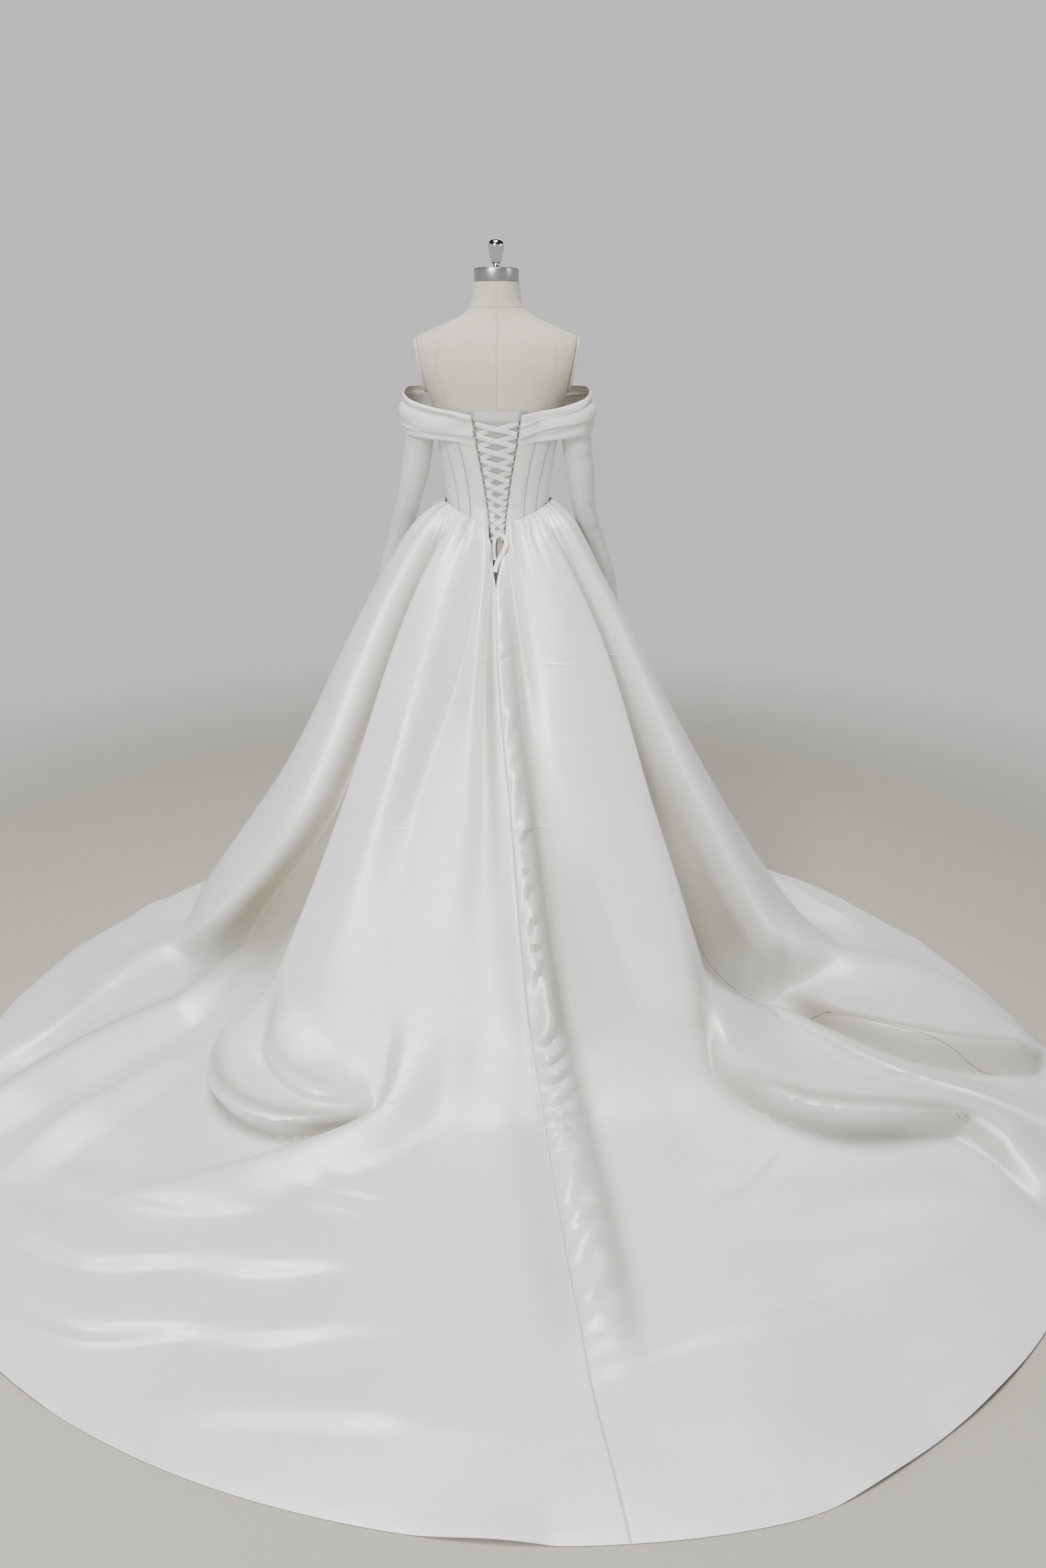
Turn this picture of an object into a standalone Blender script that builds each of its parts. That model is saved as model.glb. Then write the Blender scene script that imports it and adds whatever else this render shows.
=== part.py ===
"""Wedding dress on its dress form, standing with its train spread out.

Metres, +Z up. The form's base is centred on the origin and stands on the floor, z = 0.
The gown's laced back and its train point to -Y and the wearer's front to +Y, so +X is
the wearer's right. Angles round the figure are in degrees: 0 at the centre back, 90 at
+X, 180 at the centre front, negative towards -X.
"""
import bisect
import functools
import math

import bmesh
import bpy
from mathutils import Vector

# Walls and clearances
SEAM_GAP = 0.0003
BODICE_WALL = 0.0020
MODESTY_WALL = 0.0010
COLLAR_WALL = 0.0025
SLEEVE_WALL = 0.0020
SKIRT_WALL = 0.0025
RIBBON_WALL = 0.0008

# How far each layer's inner face stands off the form
MODESTY_LIFT = 0.0007
BODICE_LIFT = 0.0025
WAIST_LIFT = 0.0053

# The dress form
BASE_RADIUS = 0.190
BASE_HEIGHT = 0.014
POLE_RADIUS = 0.0127
CAP_BOTTOM = 1.5985
CAP_TOP = 1.6265
CAP_RADIUS = 0.0505
KNOB_TOP = 1.686
TORSO_SIDES = 32
PLATE_HEIGHT = 1.425       # centre of an arm plate
PLATE_HALF_HEIGHT = 0.062
PLATE_HALF_DEPTH = 0.044
PLATE_WALL = 0.0080
ARMHOLE_REACH = 0.1765     # half width at the armhole planes, at ARMHOLE_TOP
ARMHOLE_TOP = 1.460
ARMHOLE_SLOPE = 0.20

# Horizontal sections of the figure
# height, half width, depth in front, depth behind, squareness
BODY = (
    (0.840, 0.1500, 0.098, 0.118, 2.0),
    (0.930, 0.1680, 0.102, 0.122, 2.0),
    (1.020, 0.1460, 0.094, 0.100, 2.0),
    (1.080, 0.1220, 0.084, 0.083, 2.0),
    (1.120, 0.1165, 0.081, 0.078, 2.0),
    (1.170, 0.1200, 0.085, 0.082, 2.0),
    (1.220, 0.1270, 0.094, 0.089, 2.1),
    (1.260, 0.1340, 0.102, 0.094, 2.2),
    (1.300, 0.1420, 0.104, 0.098, 2.2),
    (1.340, 0.1520, 0.102, 0.102, 2.3),
    (1.380, 0.1680, 0.096, 0.102, 2.5),
    (1.420, 0.1850, 0.088, 0.099, 2.6),
    (1.460, 0.1920, 0.078, 0.090, 2.6),
    (1.483, 0.1840, 0.068, 0.080, 2.4),
    (1.499, 0.1500, 0.060, 0.070, 2.2),
    (1.515, 0.1120, 0.056, 0.063, 2.0),
    (1.530, 0.0800, 0.053, 0.058, 2.0),
    (1.545, 0.0630, 0.052, 0.055, 2.0),
    (1.560, 0.0565, 0.050, 0.053, 2.0),
    (1.598, 0.0515, 0.048, 0.050, 2.0),
)
BUST_ANGLE = 142.0
BUST_SPREAD = 22.0
BUST_HEIGHT = 1.290
BUST_RISE = 0.058
BUST_LIFT = 0.016
# Heights of the torso's rows; the panel behind the lacing shares those beside it
FIGURE_ROWS = (0.840, 0.885, 0.930, 0.975, 1.020, 1.051, 1.070, 1.090, 1.110, 1.135, 1.160, 1.190, 1.225,
               1.260, 1.292, 1.321, 1.350, 1.385, 1.422, 1.460, 1.483, 1.499, 1.515, 1.530, 1.545, 1.565)

# Corset bodice: half the lacing gap at the waist and at the top, and its seams
LACING_FOOT = 1.070
LACING_TOP = 1.317
MODESTY_FOOT = 1.051
GAP_ANGLE_FOOT = 8.5
GAP_ANGLE_TOP = 19.5
WAIST_ALLOWANCE = 0.010
BODICE_ROWS = (0.0, 0.04, 0.16, 0.30, 0.44, 0.58, 0.72, 0.86, 1.0)
# name, seam angle at the waist and at the top: towards the centre back, then towards the front,
# and how many strips it is drawn in
BODICE_PANELS = (
    ("center_back", GAP_ANGLE_FOOT, GAP_ANGLE_TOP, 31.0, 39.5, 3),
    ("side_back", 31.0, 39.5, 48.0, 63.0, 3),
    ("side", 48.0, 63.0, 98.0, 101.0, 4),
    ("front_side", 98.0, 101.0, 146.0, 142.0, 5),
)
CENTER_FRONT_STRIPS = 8
# angle, height of the waist seam, height of the bodice's top edge
EDGES = (
    (0.0, 1.054, 1.318),
    (14.0, 1.080, 1.316),
    (45.0, 1.103, 1.308),
    (77.0, 1.122, 1.303),
    (100.0, 1.126, 1.306),
    (140.0, 1.106, 1.334),
    (180.0, 1.085, 1.322),
)

# Lacing
LACE_ROWS = 10
LACE_PITCH = 0.0262
LACE_DROP = 0.0185
LACE_TOP = 1.3010
RIBBON_WIDTH = 0.0088
RIBBON_END_WIDTH = 0.0068
UNDER_LIFT = 0.0024
OVER_LIFT = 0.0039
END_INSET_TOP = 0.0045     # from a bodice edge to the end of a ribbon stretch
END_INSET_FOOT = 0.0066
CORD_RADIUS = 0.0006
CORD_LIFT = 0.0031
CORD_INSET = 0.0010        # from a bodice edge to the middle of the cord, and to its loops
LOOP_INSET = 0.0030

# Draped collar, from the lacing round the arm to the centre front
# angle, stand-off from the figure, top, bottom, first trough, second trough (0 bottom, 1 top)
COLLAR = (
    (19.8, 0.0053, 1.319, 1.252, 0.14, 0.72),
    (35.0, 0.0064, 1.327, 1.259, 0.15, 0.74),
    (50.0, 0.0290, 1.333, 1.265, 0.18, 0.76),
    (62.0, 0.0540, 1.342, 1.269, 0.24, 0.77),
    (75.0, 0.0740, 1.354, 1.275, 0.32, 0.78),
    (90.0, 0.0800, 1.368, 1.281, 0.36, 0.80),
    (105.0, 0.0800, 1.377, 1.284, 0.36, 0.80),
    (120.0, 0.0640, 1.378, 1.279, 0.34, 0.78),
    (135.0, 0.0340, 1.368, 1.268, 0.32, 0.75),
    (150.0, 0.0110, 1.352, 1.255, 0.30, 0.72),
    (165.0, 0.0053, 1.338, 1.246, 0.30, 0.70),
    (180.0, 0.0053, 1.332, 1.242, 0.30, 0.70),
)
COLLAR_BULGE = 0.0060
COLLAR_TROUGH = 0.0035
COLLAR_LEAN = 0.25         # share of the stand-off that the top edge leans back in
COLLAR_ROWS = (0.0, 0.10, 0.24, 0.38, 0.52, 0.66, 0.78, 0.90, 1.0)
COLLAR_COLUMNS = 20

# Sleeve on the +X side, cuff to top: height, centre x, centre y, half width, half depth
SLEEVE = (
    (0.745, 0.2900, 0.215, 0.0250, 0.034),
    (0.780, 0.2860, 0.203, 0.0250, 0.035),
    (0.860, 0.2760, 0.172, 0.0255, 0.038),
    (0.940, 0.2595, 0.137, 0.0260, 0.040),
    (1.025, 0.2290, 0.098, 0.0265, 0.044),
    (1.110, 0.2050, 0.048, 0.0268, 0.048),
    (1.200, 0.1925, 0.014, 0.0315, 0.053),
    (1.270, 0.1834, 0.004, 0.0318, 0.055),
    (1.315, 0.1844, 0.004, 0.0308, 0.055),
)
SLEEVE_ROWS = 10
SLEEVE_COLUMNS = 6         # round each of its two panels
LEFT_SLEEVE_SPREAD = 0.016
SPREAD_HEIGHTS = (1.22, 1.06)

# Skirt: how far down the cloth its levels lie, at the waist, puff, hip, knee, calf, floor, train,
# sweep and hem. Every fold line passes them all.
CLOTH_AT_LEVEL = (0.0, 0.06, 0.17, 0.72, 1.08, 1.33, 1.55, 1.75, 1.95)
HIP, KNEE, CALF = 0.950, 0.500, 0.200
PUFF_DROP = 0.045
PUFF_REACH = 0.42
GATHER_DEPTH = 0.0045
GATHER_SPAN = 12.0         # angle at the waist of a gather of full depth
SLIT_END = 0.185           # down the cloth from the waist
SLIT_POWER = 1.3
SLIT_WIDTH_RIGHT = 1.4     # from the centre-back seam at the waist, in fold lines
SLIT_WIDTH_LEFT = 2.15
SKIRT_COLUMNS = 3          # between two fold lines, and in the hidden front
FRONT_COLUMNS = 2
SKIRT_ROWS = (2, 2, 4, 3, 3, 2, 2, 2)   # between two levels

# Fold lines of the back and sides. At hip, knee and calf: angle, radius. On the floor, at the
# levels floor, train and sweep: angle, radius, height of the cloth. Then the angle at the hem.
#   name, waist angle, hip, knee, calf, floor, train, sweep, hem angle
FOLDS = (
    ("back_seam", 0, (-0.5, .208), (3.8, .520), (5, .777), (6, .965, .050), (6, 1.19, .010), (6, 1.46, .004), 6.5),
    ("strip_valley_r", 8, (10, .194), (10.5, .492), (12, .760), (12, .962, .042), (12.5, 1.19, .004), (13, 1.47, 0), 13.5),
    ("roll_flank_r", 15, (16.5, .218), (20, .515), (21, .765), (21, .962, .052), (21, 1.15, .010), (22, 1.40, 0), 24),
    ("roll_crest_r", 31, (31.5, .246), (33, .550), (30.5, .800), (31, .91, .085), (30.5, 1.08, .06), (43, 1.27, .05), 44),
    ("roll_edge_r", 45, (46, .257), (39.5, .545), (35, .775), (50.8, .85, .05), (48.5, 1.07, .04), (50.5, 1.28, .03), 52),
    ("valley_r", 52, (50, .205), (43, .465), (42, .680), (56, .76, 0), (53.5, .98, 0), (55, 1.20, 0), 58),
    ("side_flank_r", 59, (57, .235), (51, .500), (52, .700), (60.5, .82, .02), (57.5, 1.0, .02), (58.5, 1.20, .015), 61),
    ("side_crest_r", 70, (65, .265), (60, .550), (60, .760), (65.5, .88, .12), (66.5, 1.02, .09), (67.5, 1.15, .06), 67),
    ("outline_r", 84, (84, .250), (80, .502), (77, .700), (79, .88, .04), (77, 1.00, .03), (75, 1.12, .015), 74),
    ("outline_l", -84, (-84, .280), (-79, .532), (-79, .750), (-82, .86, .03), (-79, .98, .02), (-73, 1.10, .01), -68),
    ("side_crest_l", -69, (-60, .285), (-56, .560), (-63, .770), (-70.5, .86, .10), (-65, 1.0, .07), (-60, 1.14, .04), -58),
    ("valley_l", -60, (-51, .215), (-47, .475), (-57, .660), (-64, .745, 0), (-60.5, .98, 0), (-56.5, 1.18, 0), -54),
    ("band_crest_l", -54, (-47, .215), (-42.5, .475), (-50, .700), (-60, .83, .08), (-56, 1.08, .055), (-52, 1.26, .035), -50),
    ("layer_edge_l", -48, (-43.5, .225), (-39.5, .500), (-39, .740), (-49.4, .90, .04), (-46, 1.15, .03), (-44, 1.32, .02), -43),
    ("roll_edge_l", -42, (-41, .272), (-37.2, .563), (-34.8, .810), (-37.3, .955, .055), (-36, 1.12, .015), (-35, 1.35, 0), -34),
    ("roll_crest_l", -29, (-28, .258), (-28, .568), (-28, .810), (-28, .975, .055), (-27, 1.2, .008), (-26, 1.43, 0), -26),
    ("roll_flank_l", -17, (-12.5, .199), (-19, .515), (-18, .785), (-17, .968, .050), (-16, 1.2, .006), (-16, 1.45, 0), -16),
    ("strip_ridge_l", -10.5, (-9, .214), (-8, .526), (-8, .784), (-8, .968, .050), (-8, 1.2, .006), (-8, 1.45, 0), -8),
    ("strip_valley_l", -5, (-5, .197), (-2.5, .502), (-1.5, .770), (-1, .962, .042), (-1, 1.2, .004), (-1, 1.45, 0), -1),
)
# Plain folds of the front, the same on both sides: angle, crest height at the knee
FRONT_FOLDS = ((97, -0.012), (110, 0.014), (124, -0.020), (141, 0.018), (158, -0.016))
CENTER_FRONT_CREST = 0.016
# radius of the front half at the side and at the centre front, and the share of the crest
FRONT_SHAPE = {
    "hip": (0.250, 0.185, 0.45),
    "knee": (0.505, 0.360, 1.0),
    "calf": (0.690, 0.470, 1.2),
    "floor": (0.820, 0.560, 1.2),
}
# angle round the figure, distance of the hem
HEM = (
    (-180.0, 0.635), (-140.0, 0.750), (-110.0, 0.890), (-90.0, 1.040), (-68.0, 1.240), (-45.0, 1.480),
    (-26.0, 1.654), (-10.0, 1.722), (3.0, 1.760), (13.0, 1.774), (24.0, 1.718), (33.0, 1.648),
    (45.0, 1.550), (60.0, 1.390), (70.0, 1.265), (90.0, 1.040), (110.0, 0.890), (140.0, 0.750),
    (180.0, 0.635),
)
# Gores of the skirt, by the fold lines that they start and end at
GORES = (
    ("skirt_back_right", "back_seam", "valley_r"),
    ("skirt_side_right", "valley_r", "front_124_r"),
    ("skirt_front", "front_124_r", "front_124_l"),
    ("skirt_side_left", "front_124_l", "valley_l"),
    ("skirt_back_left", "valley_l", "back_seam"),
)

# Finishes: base colour, metallic, roughness
FINISHES = {
    "satin": ((0.80, 0.80, 0.77), 0.0, 0.38),
    "ribbon": ((0.78, 0.78, 0.74), 0.0, 0.45),
    "form_linen": ((0.68, 0.62, 0.53), 0.0, 0.85),
    "brushed_steel": ((0.55, 0.54, 0.52), 1.0, 0.35),
    "chrome": ((0.85, 0.86, 0.88), 1.0, 0.08),
}


# Values between table rows

def steps_between(keys, values):
    """Slopes at each key of a smooth curve that never overshoots its values."""
    slopes = [(values[i + 1] - values[i]) / (keys[i + 1] - keys[i]) for i in range(len(keys) - 1)]
    middle = [2 * a * b / (a + b) if a * b > 0 else 0.0 for a, b in zip(slopes, slopes[1:])]
    return [slopes[0]] + middle + [slopes[-1]]


def hermite(a, b, slope_a, slope_b, span, t):
    """Cubic from a to b with the given slopes at its ends."""
    rise = b - a
    return (a + span * slope_a * t
            + (3 * rise - span * (2 * slope_a + slope_b)) * t ** 2
            + (span * (slope_a + slope_b) - 2 * rise) * t ** 3)


def curve_value(keys, values, key):
    """Smooth value at a key between two of the keys."""
    key = min(max(key, keys[0]), keys[-1])
    i = min(bisect.bisect_right(keys, key), len(keys) - 1) - 1
    slopes = steps_between(keys, values)
    span = keys[i + 1] - keys[i]
    return hermite(values[i], values[i + 1], slopes[i], slopes[i + 1], span, (key - keys[i]) / span)


def section(table, key):
    """Smooth row of a table at a key that lies between two of its rows."""
    keys, *columns = zip(*table)
    return [curve_value(keys, column, key) for column in columns]


# The figure

@functools.lru_cache(maxsize=None)
def body(angle, height):
    """Point on the dress form's skin."""
    half_width, front, back, squareness = section(BODY, height)
    sine, cosine = math.sin(math.radians(angle)), math.cos(math.radians(angle))
    power = 2 / squareness
    x = half_width * math.copysign(abs(sine) ** power, sine)
    depth = back if cosine > 0 else front
    y = -depth * math.copysign(abs(cosine) ** power, cosine)
    turned = abs((angle + 180) % 360 - 180)
    y += BUST_LIFT * (math.exp(-((turned - BUST_ANGLE) / BUST_SPREAD) ** 2)
                      * math.exp(-((height - BUST_HEIGHT) / BUST_RISE) ** 2))
    return Vector((x, y, height))


def frame_at(surface, a, b, step_a=0.5, step_b=0.002):
    """Point of a surface, the direction across it as a grows, and the way out of it."""
    across = surface(a + step_a, b) - surface(a - step_a, b)
    up = surface(a, b + step_b) - surface(a, b - step_b)
    return surface(a, b), across.normalized(), across.cross(up).normalized()


def lifted(surface, a, b, distance):
    """Point of a surface moved out along its normal."""
    point, _, out = frame_at(surface, a, b)
    return point + out * distance


# Meshes

def finish(name):
    """Principled material of one of the finishes."""
    material = bpy.data.materials.get(name)
    if material:
        return material
    color, metallic, roughness = FINISHES[name]
    material = bpy.data.materials.new(name)
    material.use_nodes = True
    shader = material.node_tree.nodes["Principled BSDF"]
    shader.inputs["Base Color"].default_value = (*color, 1.0)
    shader.inputs["Metallic"].default_value = metallic
    shader.inputs["Roughness"].default_value = roughness
    return material


def add_piece(name, points, faces, material, sharp_angle=math.radians(40)):
    """Named object with its points in place."""
    mesh = bpy.data.meshes.new(name)
    mesh.from_pydata(points, [], faces)
    mesh.materials.append(finish(material))
    mesh.shade_smooth()
    mesh.set_sharp_from_angle(angle=sharp_angle)
    piece = bpy.data.objects.new(name, mesh)
    bpy.context.collection.objects.link(piece)
    return piece


def cloth_wall(name, sheet, columns, rows, thickness, material):
    """Closed wall over a sheet. sheet(t, v) gives its inner point, the way across and the way out.

    t runs across the piece from 0 to 1 and v from its lower to its upper edge, so that across
    turned to up is out. Its side edges are drawn in by half a seam gap, and their faces are
    split alike, so that two neighbours stay parallel along their seam.
    """
    inner, outer = [], []
    for v in rows:
        for t in columns:
            point, across, out = sheet(t, v)
            if t == columns[0]:
                point = point + across * SEAM_GAP / 2
            elif t == columns[-1]:
                point = point - across * SEAM_GAP / 2
            inner.append(point)
            outer.append(point + out * thickness)
    width, height = len(columns), len(rows)
    under = width * height
    faces = []
    for j in range(height - 1):
        for i in range(width - 1):
            a = j * width + i
            b, c, d = a + 1, a + 1 + width, a + width
            faces.append((under + a, under + b, under + c, under + d))
            faces.append((d, c, b, a))
    rim = [i for i in range(width)]
    rim += [j * width + width - 1 for j in range(1, height)]
    rim += [(height - 1) * width + i for i in range(width - 2, -1, -1)]
    rim += [j * width for j in range(height - 2, 0, -1)]
    for a, b in zip(rim, rim[1:] + rim[:1]):
        if abs(a - b) == 1:
            faces.append((a, b, under + b, under + a))
        elif a < b:
            faces += [(a, b, under + b), (a, under + b, under + a)]
        else:
            faces += [(a, b, under + a), (b, under + b, under + a)]
    return add_piece(name, inner + outer, faces, material)


def turned(name, profile, sides, material, place=(0.0, 0.0)):
    """Solid of revolution round an upright axis. profile is (radius, height), bottom to top."""
    points, faces = [], []
    for radius, height in profile:
        for k in range(sides):
            turn = 2 * math.pi * k / sides
            points.append((place[0] + radius * math.cos(turn), place[1] + radius * math.sin(turn), height))
    for j in range(len(profile) - 1):
        for k in range(sides):
            a, b = j * sides + k, j * sides + (k + 1) % sides
            faces.append((a, b, b + sides, a + sides))
    faces.append(tuple(range(sides - 1, -1, -1)))
    top = (len(profile) - 1) * sides
    faces.append(tuple(range(top, top + sides)))
    return add_piece(name, points, faces, material)


def even(count):
    """Fractions from 0 to 1 in count equal steps."""
    return [k / count for k in range(count + 1)]


def between(a, b, t):
    return a + (b - a) * t


# Dress form

def armhole_limit(height):
    """Half width where the slanted armhole plane cuts the torso."""
    return ARMHOLE_REACH - ARMHOLE_SLOPE * (ARMHOLE_TOP - height)


def torso_point(angle, height):
    point = body(angle, height)
    limit = armhole_limit(height)
    point = point.copy()
    point.x = max(-limit, min(limit, point.x)) if 1.34 < height < 1.50 else point.x
    return point


def make_torso():
    """Linen-covered body and neck, closed flat at the hips and under the neck cap."""
    highest = CAP_BOTTOM - SEAM_GAP
    heights = FIGURE_ROWS + (highest,)
    points, faces = [], []
    for height in heights:
        for k in range(TORSO_SIDES):
            points.append(torso_point(360 * k / TORSO_SIDES, height))
    rings = len(heights)
    for j in range(rings - 1):
        for k in range(TORSO_SIDES):
            a, b = j * TORSO_SIDES + k, j * TORSO_SIDES + (k + 1) % TORSO_SIDES
            faces.append((a, b, b + TORSO_SIDES, a + TORSO_SIDES))
    faces.append(tuple(range(TORSO_SIDES - 1, -1, -1)))
    top = (rings - 1) * TORSO_SIDES
    faces.append(tuple(range(top, top + TORSO_SIDES)))
    return add_piece("form_torso", points, faces, "form_linen")


def make_arm_plate(name, side):
    """Domed oval plate that closes an armhole of the form."""
    sides = 20
    lean = math.atan(ARMHOLE_SLOPE)
    seat = armhole_limit(PLATE_HEIGHT) + SEAM_GAP * 1.2
    rings = ((1.0, 0.0), (1.0, 0.55), (0.86, 0.85), (0.5, 1.0))
    points = []
    for scale, rise in rings:
        for k in range(sides):
            turn = 2 * math.pi * k / sides
            up = PLATE_HALF_HEIGHT * scale * math.sin(turn)
            out = PLATE_WALL * rise
            x = seat + up * math.sin(lean) + out * math.cos(lean)
            z = PLATE_HEIGHT + up * math.cos(lean) - out * math.sin(lean)
            y = -0.006 + PLATE_HALF_DEPTH * scale * math.cos(turn)
            points.append((side * x, y, z))
    faces = []
    for j in range(len(rings) - 1):
        for k in range(sides):
            a, b = j * sides + k, j * sides + (k + 1) % sides
            faces.append((a, b, b + sides, a + sides))
    faces.append(tuple(range(sides - 1, -1, -1)))
    top = (len(rings) - 1) * sides
    faces.append(tuple(range(top, top + sides)))
    if side < 0:
        faces = [face[::-1] for face in faces]
    return add_piece(name, points, faces, "form_linen")


def make_form():
    make_torso()
    make_arm_plate("form_arm_plate_right", 1)
    make_arm_plate("form_arm_plate_left", -1)
    turned("form_neck_cap", ((CAP_RADIUS - 0.002, CAP_BOTTOM), (CAP_RADIUS, CAP_BOTTOM + 0.002),
                             (CAP_RADIUS, CAP_TOP - 0.003), (CAP_RADIUS - 0.003, CAP_TOP)),
           28, "brushed_steel")
    stem = CAP_TOP + SEAM_GAP
    turned("form_knob", ((0.0095, stem), (0.0085, stem + 0.002), (0.0085, stem + 0.010), (0.0115, stem + 0.012),
                         (0.0125, stem + 0.016), (0.0168, KNOB_TOP - 0.026), (0.0182, KNOB_TOP - 0.017),
                         (0.0165, KNOB_TOP - 0.008), (0.0110, KNOB_TOP - 0.002), (0.0040, KNOB_TOP)),
           16, "chrome")
    turned("form_pole", ((POLE_RADIUS, BASE_HEIGHT + SEAM_GAP), (POLE_RADIUS, BODY[0][0] - SEAM_GAP)),
           16, "brushed_steel")
    turned("form_base", ((BASE_RADIUS, 0.0), (BASE_RADIUS, BASE_HEIGHT * 0.6), (BASE_RADIUS - 0.006, BASE_HEIGHT)),
           40, "brushed_steel")


# Bodice and lacing

def edges_at(angle):
    """Heights of the waist seam and of the bodice's top edge."""
    return section(EDGES, abs((angle + 180) % 360 - 180))


def bodice_sheet(start_foot, start_top, end_foot, end_top):
    """Inner face of a corset panel between two seams."""
    def sheet(t, v):
        angle = between(between(start_foot, start_top, v), between(end_foot, end_top, v), t)
        waist, top = edges_at(angle)
        if v == BODICE_ROWS[0]:
            height = waist - WAIST_ALLOWANCE
        elif v == BODICE_ROWS[1]:
            height = waist
        else:
            height = between(waist, top, v)
        point, across, out = frame_at(body, angle, height)
        return point + out * BODICE_LIFT, across, out
    return sheet


def make_bodice():
    for name, start_foot, start_top, end_foot, end_top, columns in BODICE_PANELS:
        right = bodice_sheet(start_foot, start_top, end_foot, end_top)
        left = bodice_sheet(-end_foot, -end_top, -start_foot, -start_top)
        cloth_wall(f"bodice_{name}_right", right, even(columns), BODICE_ROWS, BODICE_WALL, "satin")
        cloth_wall(f"bodice_{name}_left", left, even(columns), BODICE_ROWS, BODICE_WALL, "satin")
    front_foot, front_top = BODICE_PANELS[-1][3:5]
    front = bodice_sheet(front_foot, front_top, 360 - front_foot, 360 - front_top)
    cloth_wall("bodice_center_front", front, even(CENTER_FRONT_STRIPS), BODICE_ROWS, BODICE_WALL, "satin")


def gap_angle(height):
    """Angle of a bodice edge beside the lacing."""
    v = (height - LACING_FOOT) / (LACING_TOP - LACING_FOOT)
    return between(GAP_ANGLE_FOOT, GAP_ANGLE_TOP, v)


def make_modesty_panel():
    """Plain panel behind the lacing, tucked under both bodice edges."""
    rows = [height for height in FIGURE_ROWS if MODESTY_FOOT <= height < LACING_TOP + 0.005]

    def sheet(t, height):
        reach = gap_angle(height) + 5.0
        point, across, out = frame_at(body, between(-reach, reach, t), height)
        return point + out * MODESTY_LIFT, across, out
    cloth_wall("modesty_panel", sheet, even(6), rows, MODESTY_WALL, "satin")


def lace_edge(height, side):
    """Angle at which a ribbon stretch ends beside a bodice edge."""
    share = (height - LACING_FOOT) / (LACING_TOP - LACING_FOOT)
    inset = between(END_INSET_FOOT, END_INSET_TOP, share) / body(side * gap_angle(height), height).xy.length
    return side * (gap_angle(height) - math.degrees(inset))


def ribbon_stretch(row, side):
    """Inner face of one crossing of the lacing. side 1 falls from +X, side -1 from -X and lies on top."""
    high = LACE_TOP - row * LACE_PITCH
    low = high - LACE_DROP
    start, end = lace_edge(high, -1), lace_edge(low, 1)
    if side > 0:
        start, end = lace_edge(low, -1), lace_edge(high, 1)
    rise = (high, low) if side < 0 else (low, high)

    def centre(t):
        return between(start, end, t), between(rise[0], rise[1], t)

    def sheet(t, v):
        angle, height = centre(t)
        ahead, behind = centre(t + 0.01), centre(t - 0.01)
        point, _, out = frame_at(body, angle, height)
        along = (body(*ahead) - body(*behind)).normalized()
        inward = min(t, 1 - t)
        width = between(RIBBON_END_WIDTH, RIBBON_WIDTH, min(1.0, inward / 0.12))
        lift = UNDER_LIFT
        if side < 0:
            lift = between(UNDER_LIFT, OVER_LIFT, min(1.0, inward / 0.25))
        return point + out * lift + out.cross(along) * width * (v - 0.5), along, out
    return sheet


def make_lacing():
    stations = (0.0, 0.12, 0.25, 0.5, 0.75, 0.88, 1.0)
    for row in range(LACE_ROWS):
        cloth_wall(f"lace_over_{row + 1}", ribbon_stretch(row, -1), stations, (0.0, 1.0), RIBBON_WALL, "ribbon")
        cloth_wall(f"lace_under_{row + 1}", ribbon_stretch(row, 1), stations, (0.0, 1.0), RIBBON_WALL, "ribbon")


def make_loop_cord(name, side):
    """Elastic cord down a bodice edge, in one small loop for each row of the lacing."""
    route = []
    for row in range(LACE_ROWS):
        middle = LACE_TOP - row * LACE_PITCH + 0.0036
        for rise, inset in ((0.0125, CORD_INSET), (0.0060, LOOP_INSET), (-0.0060, LOOP_INSET), (-0.0125, CORD_INSET)):
            height = middle + rise
            radius = body(side * gap_angle(height), height).xy.length
            angle = gap_angle(height) - math.degrees(inset / radius)
            route.append(lifted(body, side * angle, height, CORD_LIFT))
    points, faces = [], []
    for i, point in enumerate(route):
        along = (route[min(i + 1, len(route) - 1)] - route[max(i - 1, 0)]).normalized()
        across = along.cross(Vector((0, -1, 0))).normalized()
        out = across.cross(along)
        for turn in (45, 135, 225, 315):
            angle = math.radians(turn)
            points.append(point + (across * math.cos(angle) + out * math.sin(angle)) * CORD_RADIUS)
    for i in range(len(route) - 1):
        for k in range(4):
            a, b = i * 4 + k, i * 4 + (k + 1) % 4
            faces.append((a, a + 4, b + 4, b))
    last = len(points) - 4
    faces += [(0, 1, 2, 3), (last + 3, last + 2, last + 1, last)]
    add_piece(name, points, faces, "ribbon")


# Routes of the ribbon's hanging loop and of its free tail, over the slit
LACE_LOOP = ((0.0000, -0.0985, 1.0495), (0.0070, -0.1090, 1.0570), (0.0170, -0.1215, 1.0555), (0.0215, -0.1335, 1.0440),
             (0.0170, -0.1430, 1.0290), (0.0060, -0.1520, 1.0110), (-0.0020, -0.1610, 0.9935),
             (-0.0048, -0.1700, 0.9820))
LACE_TAIL = ((-0.0050, -0.0960, 1.0470), (-0.0080, -0.1080, 1.0340), (-0.0080, -0.1230, 1.0190),
             (-0.0060, -0.1400, 1.0040))


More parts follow.
